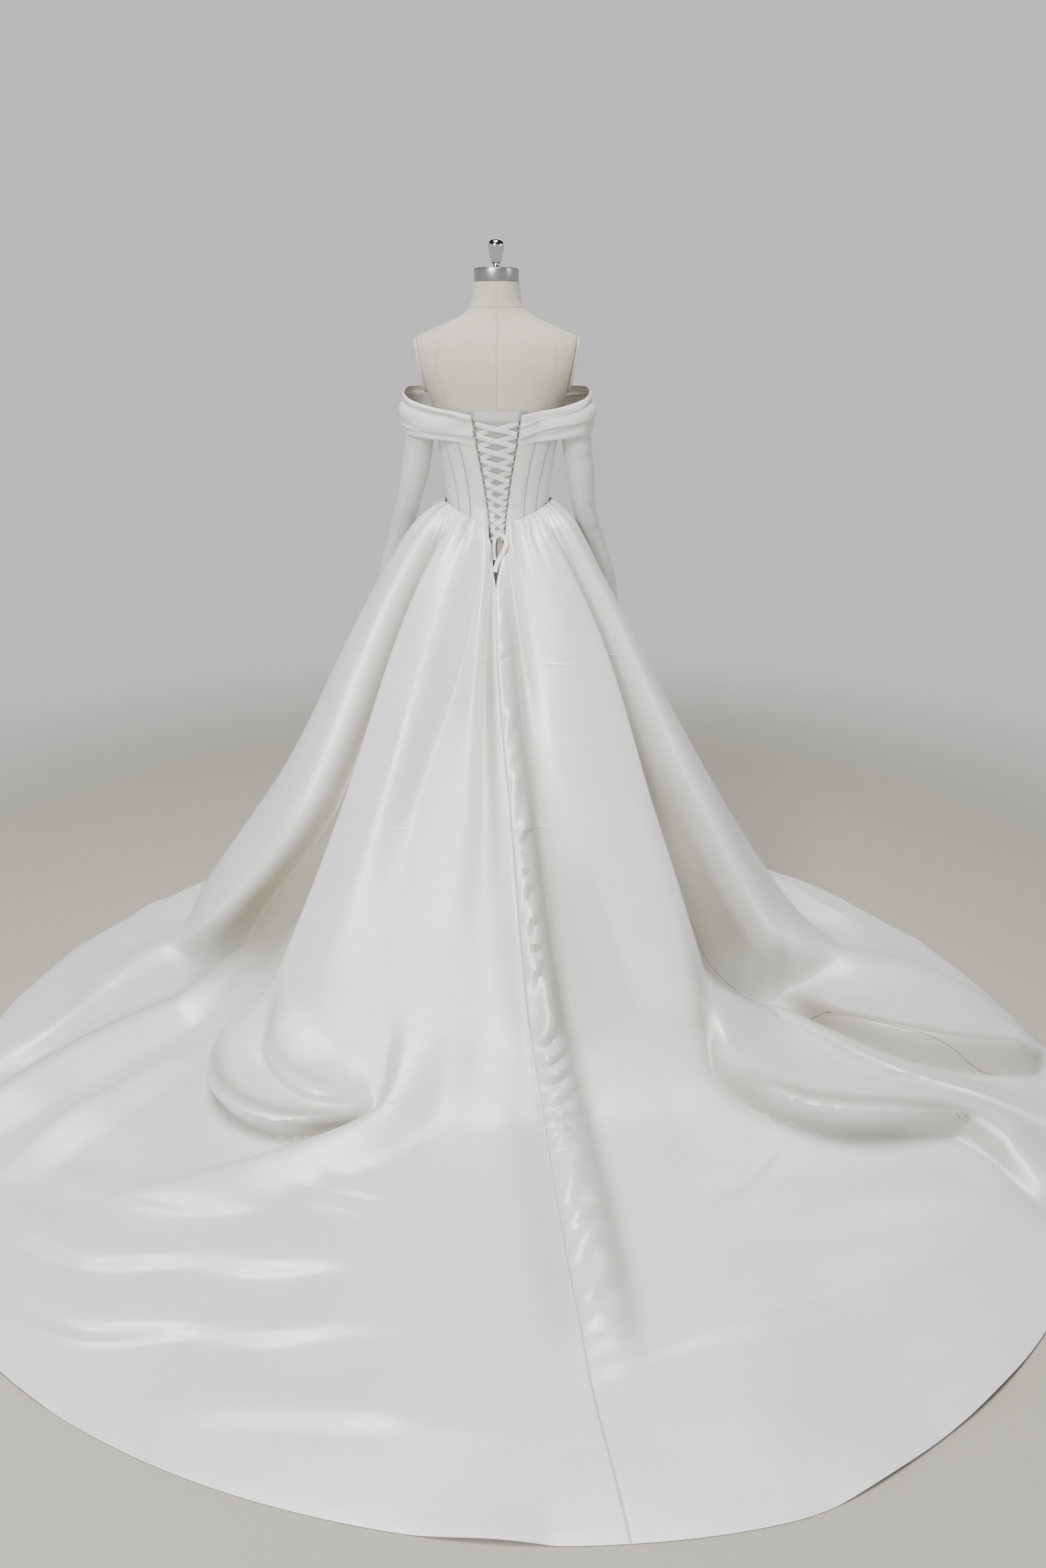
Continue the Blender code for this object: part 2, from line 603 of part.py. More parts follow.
def make_hanging_ribbon(name, route, width):
    """Flat ribbon along a short route, facing the back."""
    points = [Vector(p) for p in route]

    def at(t):
        place = t * (len(points) - 1)
        i = min(int(place), len(points) - 2)
        return points[i].lerp(points[i + 1], place - i)

    def sheet(t, v):
        along = (at(min(1.0, t + 0.05)) - at(max(0.0, t - 0.05))).normalized()
        out = Vector((0, -1, 0.75))
        out = (out - along * out.dot(along)).normalized()
        return at(t) + out.cross(along) * width * (v - 0.5), along, out
    ribbon = cloth_wall(name, sheet, even(2 * len(points) - 2), (0.0, 1.0), RIBBON_WALL, "ribbon")
    # a twisted ribbon has no flat quads, so each is split in two
    split = bmesh.new()
    split.from_mesh(ribbon.data)
    bmesh.ops.triangulate(split, faces=split.faces, quad_method="FIXED")
    split.to_mesh(ribbon.data)
    split.free()


# Collar and sleeves

def collar_sheet(side):
    """Inner face of a collar half. On the -X side it runs from the front to the back."""
    def place(angle, v):
        stand_off, top, bottom, low_trough, high_trough = section(COLLAR, abs(angle))
        height = between(bottom, top, v)
        swell = COLLAR_BULGE * math.sin(math.pi * v) * min(1.0, stand_off / 0.03)
        for trough in (low_trough, high_trough):
            swell -= COLLAR_TROUGH * math.exp(-((v - trough) / 0.09) ** 2) * min(1.0, stand_off / 0.02)
        point, _, out = frame_at(body, angle, min(height, 1.33))
        flat = Vector((out.x, out.y, 0)).normalized()
        point = Vector((point.x, point.y, height))
        lean = COLLAR_LEAN * v * max(0.0, stand_off - 0.01)
        return point + flat * (stand_off - lean + swell)

    def sheet(t, v):
        start, end = COLLAR[0][0], 180.0
        angle = between(start, end, t) if side > 0 else between(-end, -start, t)
        point, across, out = frame_at(place, angle, v, 0.5, 0.02)
        return point, across, out
    return sheet


def sleeve_sheet(side, start):
    """Inner face of a sleeve panel that goes half round from the angle start."""
    def place(turn, height):
        x, y, half_width, half_depth = section(SLEEVE, height)
        if side < 0:
            high, low = SPREAD_HEIGHTS
            fade = min(1.0, max(0.0, (high - height) / (high - low)))
            x += LEFT_SLEEVE_SPREAD * fade * fade * (3 - 2 * fade)
        angle = math.radians(turn)
        return Vector((side * x + half_width * math.cos(angle), y + half_depth * math.sin(angle), height))

    def sheet(t, v):
        height = between(SLEEVE[0][0], SLEEVE[-1][0], v)
        return frame_at(place, start + 180 * t, height, 1.0, 0.004)
    return sheet


def make_collar_and_sleeves():
    for word, side in (("right", 1), ("left", -1)):
        cloth_wall(f"collar_{word}", collar_sheet(side), even(COLLAR_COLUMNS), COLLAR_ROWS, COLLAR_WALL, "satin")
        outer_start = -90 if side > 0 else 90
        cloth_wall(f"sleeve_upper_{word}", sleeve_sheet(side, outer_start), even(SLEEVE_COLUMNS),
                   even(SLEEVE_ROWS), SLEEVE_WALL, "satin")
        cloth_wall(f"sleeve_under_{word}", sleeve_sheet(side, outer_start + 180), even(SLEEVE_COLUMNS),
                   even(SLEEVE_ROWS), SLEEVE_WALL, "satin")


# Skirt

def hem_radius(angle):
    return section(HEM, angle)[0]


def front_fold(name, angle, crest):
    """Fold line of the hidden front, plain and even."""
    away = abs((angle + 180) % 360 - 180)
    share = (1 - math.cos(2 * math.radians(away - 90))) / 2
    radius = {level: between(side, front, share) + crest * part
              for level, (side, front, part) in FRONT_SHAPE.items()}
    hem = hem_radius((angle + 180) % 360 - 180)
    floor = radius["floor"]
    return (name, angle, (angle, radius["hip"]), (angle, radius["knee"]), (angle, radius["calf"]),
            (angle, floor, 0), (angle, between(floor, hem, 0.33), 0), (angle, between(floor, hem, 0.67), 0), angle)


def fold_lines():
    """All fold lines once round the skirt, angles growing from the centre back."""
    right = list(FOLDS[:9])
    left = [shifted(fold) for fold in FOLDS[9:]]
    front = [front_fold(f"front_{angle}_r", angle, crest) for angle, crest in FRONT_FOLDS]
    front.append(front_fold("center_front", 180, CENTER_FRONT_CREST))
    front += [front_fold(f"front_{angle}_l", 360 - angle, crest) for angle, crest in reversed(FRONT_FOLDS)]
    return right + front + left


def shifted(fold):
    """The same fold line with its angles counted on past the front, up to 360."""
    name, waist, *places, hem = fold
    return (name, waist + 360, *[(place[0] + 360, *place[1:]) for place in places], hem + 360)


def level_points(fold):
    """Angle, radius and height of a fold line at each level."""
    _, waist, hip, knee, calf, floor, train, sweep, hem = fold
    seam_height = edges_at((waist + 180) % 360 - 180)[0]
    seam = lifted(body, waist, seam_height, WAIST_LIFT)
    seam_radius = seam.xy.length
    seam_angle = waist + (math.degrees(math.atan2(seam.x, -seam.y)) - waist + 180) % 360 - 180
    puff = (between(waist, hip[0], 0.5), between(seam_radius, hip[1], PUFF_REACH), seam_height - PUFF_DROP)
    hem_distance = hem_radius((hem + 180) % 360 - 180)
    return ((seam_angle, seam_radius, seam_height), puff, (*hip, HIP), (*knee, KNEE), (*calf, CALF),
            floor, train, sweep, (hem, hem_distance, 0.0))


@functools.lru_cache(maxsize=None)
def skirt_net():
    return [level_points(fold) for fold in fold_lines()]


@functools.lru_cache(maxsize=None)
def ring_at(cloth):
    """Angle, radius and height of every fold line at a distance down the cloth."""
    return [tuple(curve_value(CLOTH_AT_LEVEL, column, cloth) for column in zip(*line)) for line in skirt_net()]


@functools.lru_cache(maxsize=None)
def ring_slopes(cloth):
    """Slopes round the ring, for angle, radius and height at every fold line."""
    ring = ring_at(cloth)
    count = len(ring)
    slopes = []
    for column in range(3):
        values = [point[column] for point in ring]
        steps = [values[(i + 1) % count] - values[i] + (360 if column == 0 and i == count - 1 else 0)
                 for i in range(count)]
        slopes.append([2 * steps[i - 1] * steps[i] / (steps[i - 1] + steps[i]) if steps[i - 1] * steps[i] > 0 else 0.0
                       for i in range(count)])
    return slopes


def skirt(place, cloth):
    """Point of the skirt's inner face. place counts fold lines round it, cloth is the way down it."""
    ring, slopes = ring_at(cloth), ring_slopes(cloth)
    count = len(ring)
    i = math.floor(place)
    t = place - i
    turns, i = divmod(i, count)
    values = []
    for column in range(3):
        a, b = ring[i][column], ring[(i + 1) % count][column]
        if column == 0 and i == count - 1:
            b += 360
        values.append(hermite(a, b, slopes[column][i], slopes[column][(i + 1) % count], 1.0, t))
    angle, radius, height = values
    fade = max(0.0, 1 - cloth / CLOTH_AT_LEVEL[2])
    depth = GATHER_DEPTH * min(1.0, (gather_span(i) / GATHER_SPAN) ** 2)
    radius += depth * fade * (0.5 - 0.5 * math.cos(2 * math.pi * t)) * min(1.0, 0.4 + cloth / 0.03)
    turn = math.radians(angle)
    return Vector((radius * math.sin(turn), -radius * math.cos(turn), max(0.0, height)))


@functools.lru_cache(maxsize=None)
def gather_span(i):
    """Angle at the waist between a fold line and the next."""
    net = skirt_net()
    return (net[(i + 1) % len(net)][0][0] - net[i][0][0]) % 360


def slit_place(cloth, width_at_top):
    """Where a back gore's centre edge lies, in fold lines from the centre-back seam."""
    open_share = max(0.0, 1 - cloth / SLIT_END)
    return width_at_top * open_share ** SLIT_POWER


def skirt_rows():
    """Distances down the cloth of the skirt's rows, hem to waist."""
    rows = [CLOTH_AT_LEVEL[0]]
    for i, steps in enumerate(SKIRT_ROWS):
        rows += [between(CLOTH_AT_LEVEL[i], CLOTH_AT_LEVEL[i + 1], (k + 1) / steps) for k in range(steps)]
    return rows[::-1]


def make_skirt():
    names = [fold[0] for fold in fold_lines()]
    rows = skirt_rows()
    longest = CLOTH_AT_LEVEL[-1]
    for gore, first, last in GORES:
        start, end = names.index(first), names.index(last)
        if end < start:
            end += len(names)

        def sheet(t, v, start=start, end=end, gore=gore):
            cloth = longest * (1 - v)
            left, right = start, end
            if gore == "skirt_back_right":
                left += slit_place(cloth, SLIT_WIDTH_RIGHT)
            if gore == "skirt_back_left":
                right -= slit_place(cloth, SLIT_WIDTH_LEFT)
            place = between(left, right, t)
            point = skirt(place, cloth)
            across = skirt(place + 0.03, cloth) - skirt(place - 0.03, cloth)
            high, low = max(0.0, cloth - 0.01), min(longest, cloth + 0.01)
            up = skirt(place, high) - skirt(place, low)
            return point, across.normalized(), across.cross(up).normalized()

        fractions = [1 - cloth / longest for cloth in rows]
        columns = (end - start) * (FRONT_COLUMNS if gore == "skirt_front" else SKIRT_COLUMNS)
        cloth_wall(gore, sheet, even(columns), fractions, SKIRT_WALL, "satin")


def make_dress():
    make_bodice()
    make_modesty_panel()
    make_lacing()
    make_loop_cord("lace_loop_cord_right", 1)
    make_loop_cord("lace_loop_cord_left", -1)
    make_hanging_ribbon("lace_hanging_loop", LACE_LOOP, 0.0085)
    make_hanging_ribbon("lace_tail", LACE_TAIL, 0.0050)
    make_collar_and_sleeves()
    make_skirt()


def main():
    for old in list(bpy.data.objects):
        bpy.data.objects.remove(old)
    make_form()
    make_dress()


main()
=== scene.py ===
# %% [markdown]
# # A wedding dress on its dress form
#
# The gown is duchess satin: a laced corset bodice, a draped off-the-shoulder collar, long sleeves
# and a gathered skirt that runs out into a train. Cloth could be simulated, but the folds here
# are known, so every cloth piece is a sheet whose points come from short tables of its folds.

# %% Load the frame
import math
import bpy
import numpy as np
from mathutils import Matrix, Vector


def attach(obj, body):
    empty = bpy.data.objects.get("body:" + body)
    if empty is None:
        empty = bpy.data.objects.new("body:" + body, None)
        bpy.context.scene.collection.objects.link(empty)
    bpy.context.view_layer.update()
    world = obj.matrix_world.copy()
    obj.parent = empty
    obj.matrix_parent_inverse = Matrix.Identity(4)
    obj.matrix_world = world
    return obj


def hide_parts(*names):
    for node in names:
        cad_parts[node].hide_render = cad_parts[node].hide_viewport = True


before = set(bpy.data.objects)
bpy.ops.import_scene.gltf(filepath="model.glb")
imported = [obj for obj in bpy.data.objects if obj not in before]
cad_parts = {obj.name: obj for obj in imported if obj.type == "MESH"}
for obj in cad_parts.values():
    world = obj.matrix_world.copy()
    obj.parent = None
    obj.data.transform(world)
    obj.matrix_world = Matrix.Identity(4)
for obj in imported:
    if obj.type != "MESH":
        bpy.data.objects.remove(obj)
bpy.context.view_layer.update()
bpy.ops.object.select_all(action="DESELECT")
print("nodes in the frame:", len(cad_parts))

# %% [markdown]
# The camera comes first, because it decides which folds matter most. It stands behind the train,
# a little above eye height for a seated viewer, and looks down.

# %% The camera
bpy.ops.object.camera_add(location=(0.0591, -2.85, 1.45), rotation=(math.radians(90 - 20.103), 0, 0))
camera = bpy.context.object
camera.data.sensor_fit = "VERTICAL"
camera.data.sensor_height = 36.0
camera.data.lens = 27.04
bpy.context.scene.camera = camera

# %% [markdown]
# Satin needs large soft lights: its sheen is their reflection, smeared along the folds. A wide one
# hangs over the train and a smaller one stands behind it on the left. Two weak ones reach the right
# side and the front, and the pale world keeps the valleys light.

# %% Floor and light
bpy.ops.mesh.primitive_plane_add(size=60, location=(0, 0, -0.0006))
floor = bpy.context.object
floor.name = "studio_floor"


def area_light(name, place, target, size, power, color, spread=180):
    """Square softbox at a place, turned to a target. spread is its cone in degrees."""
    bpy.ops.object.light_add(type="AREA", location=place)
    light = bpy.context.object
    light.name = name
    light.data.size = size
    light.data.energy = power
    light.data.color = color
    light.data.spread = math.radians(spread)
    light.rotation_euler = (Vector(target) - Vector(place)).to_track_quat("-Z", "Y").to_euler()


area_light("ceiling_softbox", (-0.4, -1.5, 5.5), (-0.1, -1.4, 0.0), 2.5, 350, (0.965, 0.985, 1.0))
area_light("key_softbox", (-1.6, -3.7, 3.1), (0.0, -0.5, 0.5), 1.2, 160, (0.985, 0.99, 1.0))
area_light("rim_softbox", (3.0, -1.2, 2.4), (0, -0.3, 0.6), 0.9, 6, (1.0, 0.99, 0.97), 110)
area_light("front_softbox", (0.5, 3.6, 3.2), (0, 0, 0.8), 2.2, 50, (1.0, 1.0, 0.99))

# %% [markdown]
# ## Finishes
#
# Every finish is a Principled shader with its detail in noise and bump. The satin has two colours:
# the lit face, and a warmer shade painted into its valleys, steered by an attribute that
# each sheet stores on its points.


# %% Shader helpers
def finish(name, color, roughness, metallic=0.0):
    """New material, its node tree and its shader."""
    material = bpy.data.materials.new(name)
    material.use_nodes = True
    tree = material.node_tree
    shader = tree.nodes["Principled BSDF"]
    shader.inputs["Base Color"].default_value = (*color, 1.0)
    shader.inputs["Roughness"].default_value = roughness
    shader.inputs["Metallic"].default_value = metallic
    return material, tree, shader


def add_node(tree, kind, values=None, links=None):
    """New shader node with some inputs set and some linked."""
    node = tree.nodes.new("ShaderNode" + kind)
    for socket, value in (values or {}).items():
        node.inputs[socket].default_value = value
    for socket, source in (links or {}).items():
        tree.links.new(source, node.inputs[socket])
    return node


def coordinates(tree, kind="Object", stretch=(1, 1, 1)):
    """Object or UV coordinates, stretched."""
    source = add_node(tree, "TexCoord").outputs[kind]
    return add_node(tree, "Mapping", {"Scale": stretch}, {"Vector": source}).outputs["Vector"]


def noise(tree, vector, scale, detail=2.0):
    return add_node(tree, "TexNoise", {"Scale": scale, "Detail": detail}, {"Vector": vector}).outputs["Fac"]


def blend(tree, factor, first, second):
    """Mix of two colours, each a socket or a value."""
    node = add_node(tree, "Mix")
    node.data_type = "RGBA"
    tree.links.new(factor, node.inputs["Factor"])
    for socket, value in (("A", first), ("B", second)):
        target = [item for item in node.inputs if item.name == socket and item.type == "RGBA"][0]
        if isinstance(value, tuple):
            target.default_value = (*value, 1.0)
        else:
            tree.links.new(value, target)
    return [item for item in node.outputs if item.type == "RGBA"][0]


def ramp(tree, factor, low, high, to_low=0.0, to_high=1.0, kind="LINEAR"):
    ends = {"From Min": low, "From Max": high, "To Min": to_low, "To Max": to_high}
    node = add_node(tree, "MapRange", ends, {"Value": factor})
    node.interpolation_type = kind
    return node.outputs["Result"]


def relief(tree, shader, layers):
    """Chain of bumps. layers is (height socket, strength, distance in metres)."""
    below = {}
    for height, strength, distance in layers:
        values = {"Strength": strength, "Distance": distance}
        bump = add_node(tree, "Bump", values, {"Height": height, **below})
        below = {"Normal": bump.outputs["Normal"]}
    tree.links.new(below["Normal"], shader.inputs["Normal"])


# %% World
world = bpy.data.worlds.new("studio")
bpy.context.scene.world = world
world.use_nodes = True
sky = world.node_tree
direction = add_node(sky, "TexCoord").outputs["Generated"]
parts = add_node(sky, "SeparateXYZ", links={"Vector": direction})
# pale at eye level, dark overhead, so that only the lights shine down into the folds
glow = ramp(sky, parts.outputs["Z"], 0.24, 0.42, 0.72, 0.03, "SMOOTHSTEP")
sky.links.new(glow, sky.nodes["Background"].inputs["Strength"])
sky.nodes["Background"].inputs["Color"].default_value = (0.965, 1.0, 0.975, 1.0)


# %% Satin, ribbon and the panel behind the lacing, each with a painted shade colour
def satin(name, lit, shade, roughness, weave=0.10, wobble=0.30, gloss=0.20):
    """Duchess satin: tight weave, soft sheen, and a warmer shade painted into its valleys."""
    material, tree, shader = finish(name, lit, roughness)
    place = coordinates(tree)
    clouds = ramp(tree, noise(tree, place, 5.0, 3.0), 0.3, 0.7)
    tone = blend(tree, clouds, tuple(0.975 * c for c in lit), tuple(min(1.0, 1.02 * c) for c in lit))
    # painted shade: this attribute mixes the shade colour into the lit colour
    valley = add_node(tree, "Attribute")
    valley.attribute_name = "valley"
    color = blend(tree, ramp(tree, valley.outputs["Fac"], 0.0, 1.0), tone, shade)
    tree.links.new(color, shader.inputs["Base Color"])
    threads = noise(tree, coordinates(tree, "UV", (1.0, 3.5, 1.0)), 1500.0, 1.0)
    slub = noise(tree, coordinates(tree, "UV", (1.0, 0.25, 1.0)), 240.0, 2.0)
    buckles = noise(tree, place, 16.0, 2.0)
    relief(tree, shader, [(threads, weave, 0.0003), (slub, weave * 0.7, 0.0004), (buckles, wobble, 0.0030)])
    rough = ramp(tree, noise(tree, place, 7.0, 2.0), 0.3, 0.7, roughness - 0.05, roughness + 0.06)
    tree.links.new(rough, shader.inputs["Roughness"])
    shader.inputs["Metallic"].default_value = gloss
    shader.inputs["Specular IOR Level"].default_value = 0.80
    return material


# each satin's second colour is its painted shade, for valleys, creases and shadows
gown_satin = satin("gown_satin", (0.815, 0.820, 0.798), (0.290, 0.258, 0.172), 0.42, gloss=0.15)
collar_satin = satin("collar_satin", (0.75, 0.752, 0.722), (0.500, 0.460, 0.360), 0.56, 0.14, 0.20, 0.0)
sleeve_satin = satin("sleeve_satin", (0.735, 0.728, 0.708), (0.56, 0.51, 0.45), 0.55, 0.12, 0.22, 0.0)
ribbon_satin = satin("ribbon_satin", (0.79, 0.785, 0.755), (0.42, 0.38, 0.29), 0.45, 0.16, 0.10, 0.0)
# the panel behind the lacing: a darker copy of the satin, as painted shade
panel_satin_painted_shade = satin("panel_satin_painted_shade", (0.70, 0.695, 0.665), (0.135, 0.125, 0.095), 0.55, 0.16, 0.10, 0.0)
loop_elastic = satin("loop_elastic", (0.72, 0.71, 0.67), (0.30, 0.27, 0.21), 0.6, 0.2, 0.1, 0.0)
print("satin finishes made")


# %% [markdown]
# The form's cover is plain-weave linen: two crossed waves of thread, uneven in tone. Its neck cap is
# brushed steel, scratched round its axis, and the knob is polished chrome.

# %% Linen and metals
def linen(name, color, deep):
    material, tree, shader = finish(name, color, 0.86)
    place = coordinates(tree)
    blotches = ramp(tree, noise(tree, place, 7.0, 4.0), 0.32, 0.68)
    tree.links.new(blend(tree, blotches, deep, color), shader.inputs["Base Color"])
    across = noise(tree, coordinates(tree, "Object", (1.0, 1.0, 9.0)), 260.0, 1.0)
    upright = noise(tree, coordinates(tree, "Object", (9.0, 9.0, 1.0)), 260.0, 1.0)
    relief(tree, shader, [(across, 0.35, 0.0004), (upright, 0.35, 0.0004)])
    shader.inputs["Sheen Weight"].default_value = 0.12
    return material


def steel(name, color, roughness, brushed):
    material, tree, shader = finish(name, color, roughness, 1.0)
    streaks = noise(tree, coordinates(tree, "Object", (1.0, 1.0, 30.0)), 90.0, 2.0)
    rough = ramp(tree, streaks, 0.3, 0.7, roughness * (1 - brushed), roughness * (1 + brushed))
    tree.links.new(rough, shader.inputs["Roughness"])
    relief(tree, shader, [(streaks, 0.10 * brushed, 0.0002)])
    return material


form_linen = linen("form_linen", (0.580, 0.535, 0.430), (0.520, 0.478, 0.378))
seam_thread = linen("seam_thread", (0.43, 0.385, 0.30), (0.38, 0.34, 0.265))
brushed_steel = steel("brushed_steel", (0.36, 0.355, 0.345), 0.30, 0.5)
polished_chrome = steel("polished_chrome", (0.58, 0.59, 0.60), 0.10, 0.25)

# %% Floor, which fades out around the train
floor_finish, floor_tree, floor_shader = finish("studio_floor", (0.41, 0.385, 0.315), 0.9)
floor_grain = noise(floor_tree, coordinates(floor_tree), 180.0, 3.0)
relief(floor_tree, floor_shader, [(floor_grain, 0.12, 0.002)])
distance = add_node(floor_tree, "VectorMath", links={0: coordinates(floor_tree)})
distance.operation = "LENGTH"
floor_fade = ramp(floor_tree, distance.outputs["Value"], 1.5, 3.2, kind="SMOOTHSTEP")
clear = add_node(floor_tree, "BsdfTransparent").outputs["BSDF"]
shaders = {"Fac": floor_fade, 1: floor_shader.outputs["BSDF"], 2: clear}
edge_mix = add_node(floor_tree, "MixShader", links=shaders)
floor_tree.links.new(edge_mix.outputs["Shader"], floor_tree.nodes["Material Output"].inputs["Surface"])
floor.data.materials.append(floor_finish)

# %% [markdown]
# ## From tables to surfaces
#
# A smooth curve through a table must not swing past its values, or a fold would cross its
# neighbour. So the slopes at the rows are harmonic means, and the pieces between are cubics.


# %% Smooth curves through table rows
def slopes_at(steps_before, steps_after):
    product = steps_before * steps_after
    total = steps_before + steps_after
    return np.where(product > 0, 2 * product / np.where(product > 0, total, 1.0), 0.0)


def cubic(a, b, slope_a, slope_b, span, t):
    rise = b - a
    return (a + span * slope_a * t + (3 * rise - span * (2 * slope_a + slope_b)) * t ** 2
            + (span * (slope_a + slope_b) - 2 * rise) * t ** 3)


def curve(keys, values, at):
    """Smooth value of a table's column at any number of keys."""
    keys = np.asarray(keys, float)
    values = np.asarray(values, float)
    at = np.clip(at, keys[0], keys[-1])
    steps = np.diff(values) / np.diff(keys)
    slopes = np.concatenate((steps[:1], slopes_at(steps[:-1], steps[1:]), steps[-1:]))
    i = np.clip(np.searchsorted(keys, at, side="right") - 1, 0, len(keys) - 2)
    span = keys[i + 1] - keys[i]
    return cubic(values[i], values[i + 1], slopes[i], slopes[i + 1], span, (at - keys[i]) / span)


def columns_of(table, at):
    keys, *columns = zip(*table)
    return [curve(keys, column, at) for column in columns]


def mix(a, b, t):
    return a + (b - a) * t


def clamp(share):
    return np.clip(share, 0, 1)


def bell(distance, reach):
    """1 at no distance, and soon 0 beyond the reach."""
    return np.exp(-(distance / reach) ** 2)


def wave(turns):
    return np.sin(2 * np.pi * turns)


def unit(vectors):
    return vectors / np.maximum(np.linalg.norm(vectors, axis=-1, keepdims=True), 1e-12)


def polar(angle, radius):
    """x and y at an angle in degrees from the centre back."""
    return radius * np.sin(np.radians(angle)), -radius * np.cos(np.radians(angle))


def facing(surface, a, b, step_a=0.5, step_b=0.002):
    """Points of a surface, the way across it and the way out of it."""
    across = surface(a + step_a, b) - surface(a - step_a, b)
    up = surface(a, b + step_b) - surface(a, b - step_b)
    return surface(a, b), unit(across), unit(np.cross(across, up))


# %% Mesh pieces
def add_mesh(name, points, faces, material, uv=None, valley=None, sharp=50):
    mesh = bpy.data.meshes.new(name)
    mesh.from_pydata(points, [], faces)
    mesh.materials.append(material)
    if uv is not None:
        layer = mesh.uv_layers.new(name="cloth")
        corner_points = np.empty(len(mesh.loops), np.int32)
        mesh.loops.foreach_get("vertex_index", corner_points)
        layer.data.foreach_set("uv", np.asarray(uv, np.float32)[corner_points].ravel())
    if valley is not None:
        # painted shade per point: how much of the satin's shade colour each point shows
        attribute = mesh.attributes.new("valley", "FLOAT", "POINT")
        attribute.data.foreach_set("value", np.asarray(valley, np.float32))
    mesh.shade_smooth()
    mesh.set_sharp_from_angle(angle=math.radians(sharp))
    piece = bpy.data.objects.new(name, mesh)
    bpy.context.collection.objects.link(piece)
    return piece


def cloth_shell(name, outer, out, wall, material, valley=None, inner_painted_shade=0.55):
    """Thin closed shell under a grid of outer points. Rows run up the piece, columns across."""
    rows, columns = outer.shape[:2]
    inner = outer - out * wall
    inner[..., 2] = np.maximum(inner[..., 2], 0.0)
    count = rows * columns
    index = np.arange(count).reshape(rows, columns)
    a, b = index[:-1, :-1].ravel(), index[:-1, 1:].ravel()
    c, d = index[1:, 1:].ravel(), index[1:, :-1].ravel()
    faces = np.concatenate((np.stack((a, b, c, d), 1), np.stack((d, c, b, a), 1) + count)).tolist()
    rim = list(index[0]) + list(index[1:, -1]) + list(index[-1, -2::-1]) + list(index[-2:0:-1, 0])
    for first, second in zip(rim, rim[1:] + rim[:1]):
        faces.append((int(first) + count, int(second) + count, int(second), int(first)))
    steps_across = np.linalg.norm(np.diff(outer, axis=1), axis=-1)
    steps_down = np.linalg.norm(np.diff(outer, axis=0), axis=-1)
    across = np.concatenate((np.zeros((rows, 1)), np.cumsum(steps_across, 1)), 1)
    down = np.concatenate((np.zeros((1, columns)), np.cumsum(steps_down, 0)))
    uv = np.stack((across.ravel(), down.ravel()), 1)
    if valley is None:
        valley = np.zeros((rows, columns))
    # the inner face gets more painted shade than the outer one
    inside = clamp(valley + inner_painted_shade)
    points = np.concatenate((outer.reshape(-1, 3), inner.reshape(-1, 3))).tolist()
    return add_mesh(name, points, faces, material, np.concatenate((uv, uv)),
                    np.concatenate((valley.ravel(), inside.ravel())))


def stand_in(piece, slot, *nodes):
    """Puts a piece on the one body, in place of its solid."""
    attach(piece, "root")
    if nodes:
        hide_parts(*nodes)


def place_cloth(piece, node):
    """Puts a sheet on the one body, in place of its solid."""
    stand_in(piece, "satin", node)


# %% [markdown]
# ## The figure
#
# The form is a stack of rounded sections: half width, depth in front and behind, and how square
# each is. The bust is a soft swelling on both sides. All clothes above the waist are lifted
# off this one surface, so they fit each other.

# %% The figure's sections
# height, half width, depth in front, depth behind, squareness
BODY = (
    (.84, .15, .098, .118, 2), (.93, .168, .102, .122, 2), (1.02, .146, .094, .1, 2),
    (1.08, .122, .084, .083, 2), (1.12, .1165, .081, .078, 2), (1.17, .12, .085, .082, 2),
    (1.22, .127, .094, .089, 2.1), (1.26, .134, .102, .094, 2.2), (1.3, .142, .104, .098, 2.2),
    (1.34, .152, .102, .102, 2.3), (1.38, .168, .096, .102, 2.5), (1.42, .185, .088, .099, 2.6),
    (1.46, .192, .078, .09, 2.6), (1.483, .184, .068, .08, 2.4), (1.499, .15, .06, .07, 2.2),
    (1.515, .112, .056, .063, 2), (1.53, .08, .053, .058, 2), (1.545, .063, .052, .055, 2),
    (1.56, .0565, .05, .053, 2), (1.5985, .0515, .048, .05, 2),
)
BUST = {"angle": 142.0, "spread": 22.0, "height": 1.290, "rise": 0.058, "lift": 0.016}


def front_angle(angle):
    """Angle from the centre back, 0 to 180 on either side."""
    return np.abs((angle + 180.0) % 360.0 - 180.0)


def body(angle, height):
    """Points on the form's skin. Angle 0 is the centre back, 90 is +X."""
    angle, height = np.broadcast_arrays(np.asarray(angle, float), np.asarray(height, float))
    half_width, front, back, squareness = columns_of(BODY, height)
    sine, cosine = np.sin(np.radians(angle)), np.cos(np.radians(angle))
    power = 2 / squareness
    x = half_width * np.sign(sine) * np.abs(sine) ** power
    y = -np.where(cosine > 0, back, front) * np.sign(cosine) * np.abs(cosine) ** power
    y = y + BUST["lift"] * (bell(front_angle(angle) - BUST["angle"], BUST["spread"])
                            * bell(height - BUST["height"], BUST["rise"]))
    return np.stack((x, y, height), -1)


# %% [markdown]
# ## The dress form
#
# The torso is one smooth skin from hips to neck, cut flat at the slanted armholes, where an oval
# plate closes it. Its cover is sewn from panels, and their seams stand up as fine cords.

# %% Torso
ARMHOLE = {"reach": 0.1765, "top": 1.460, "slope": 0.20}
ARMPIT, SHOULDER = 1.335, 1.50
CAP_BOTTOM = 1.5985


def armhole_reach(height):
    return ARMHOLE["reach"] - ARMHOLE["slope"] * (ARMHOLE["top"] - height)


def form_skin(angle, height):
    points = body(angle, height)
    limit = armhole_reach(height)
    cut = (height > ARMPIT) & (height < SHOULDER)
    points[..., 0] = np.where(cut, np.clip(points[..., 0], -limit, limit), points[..., 0])
    return points


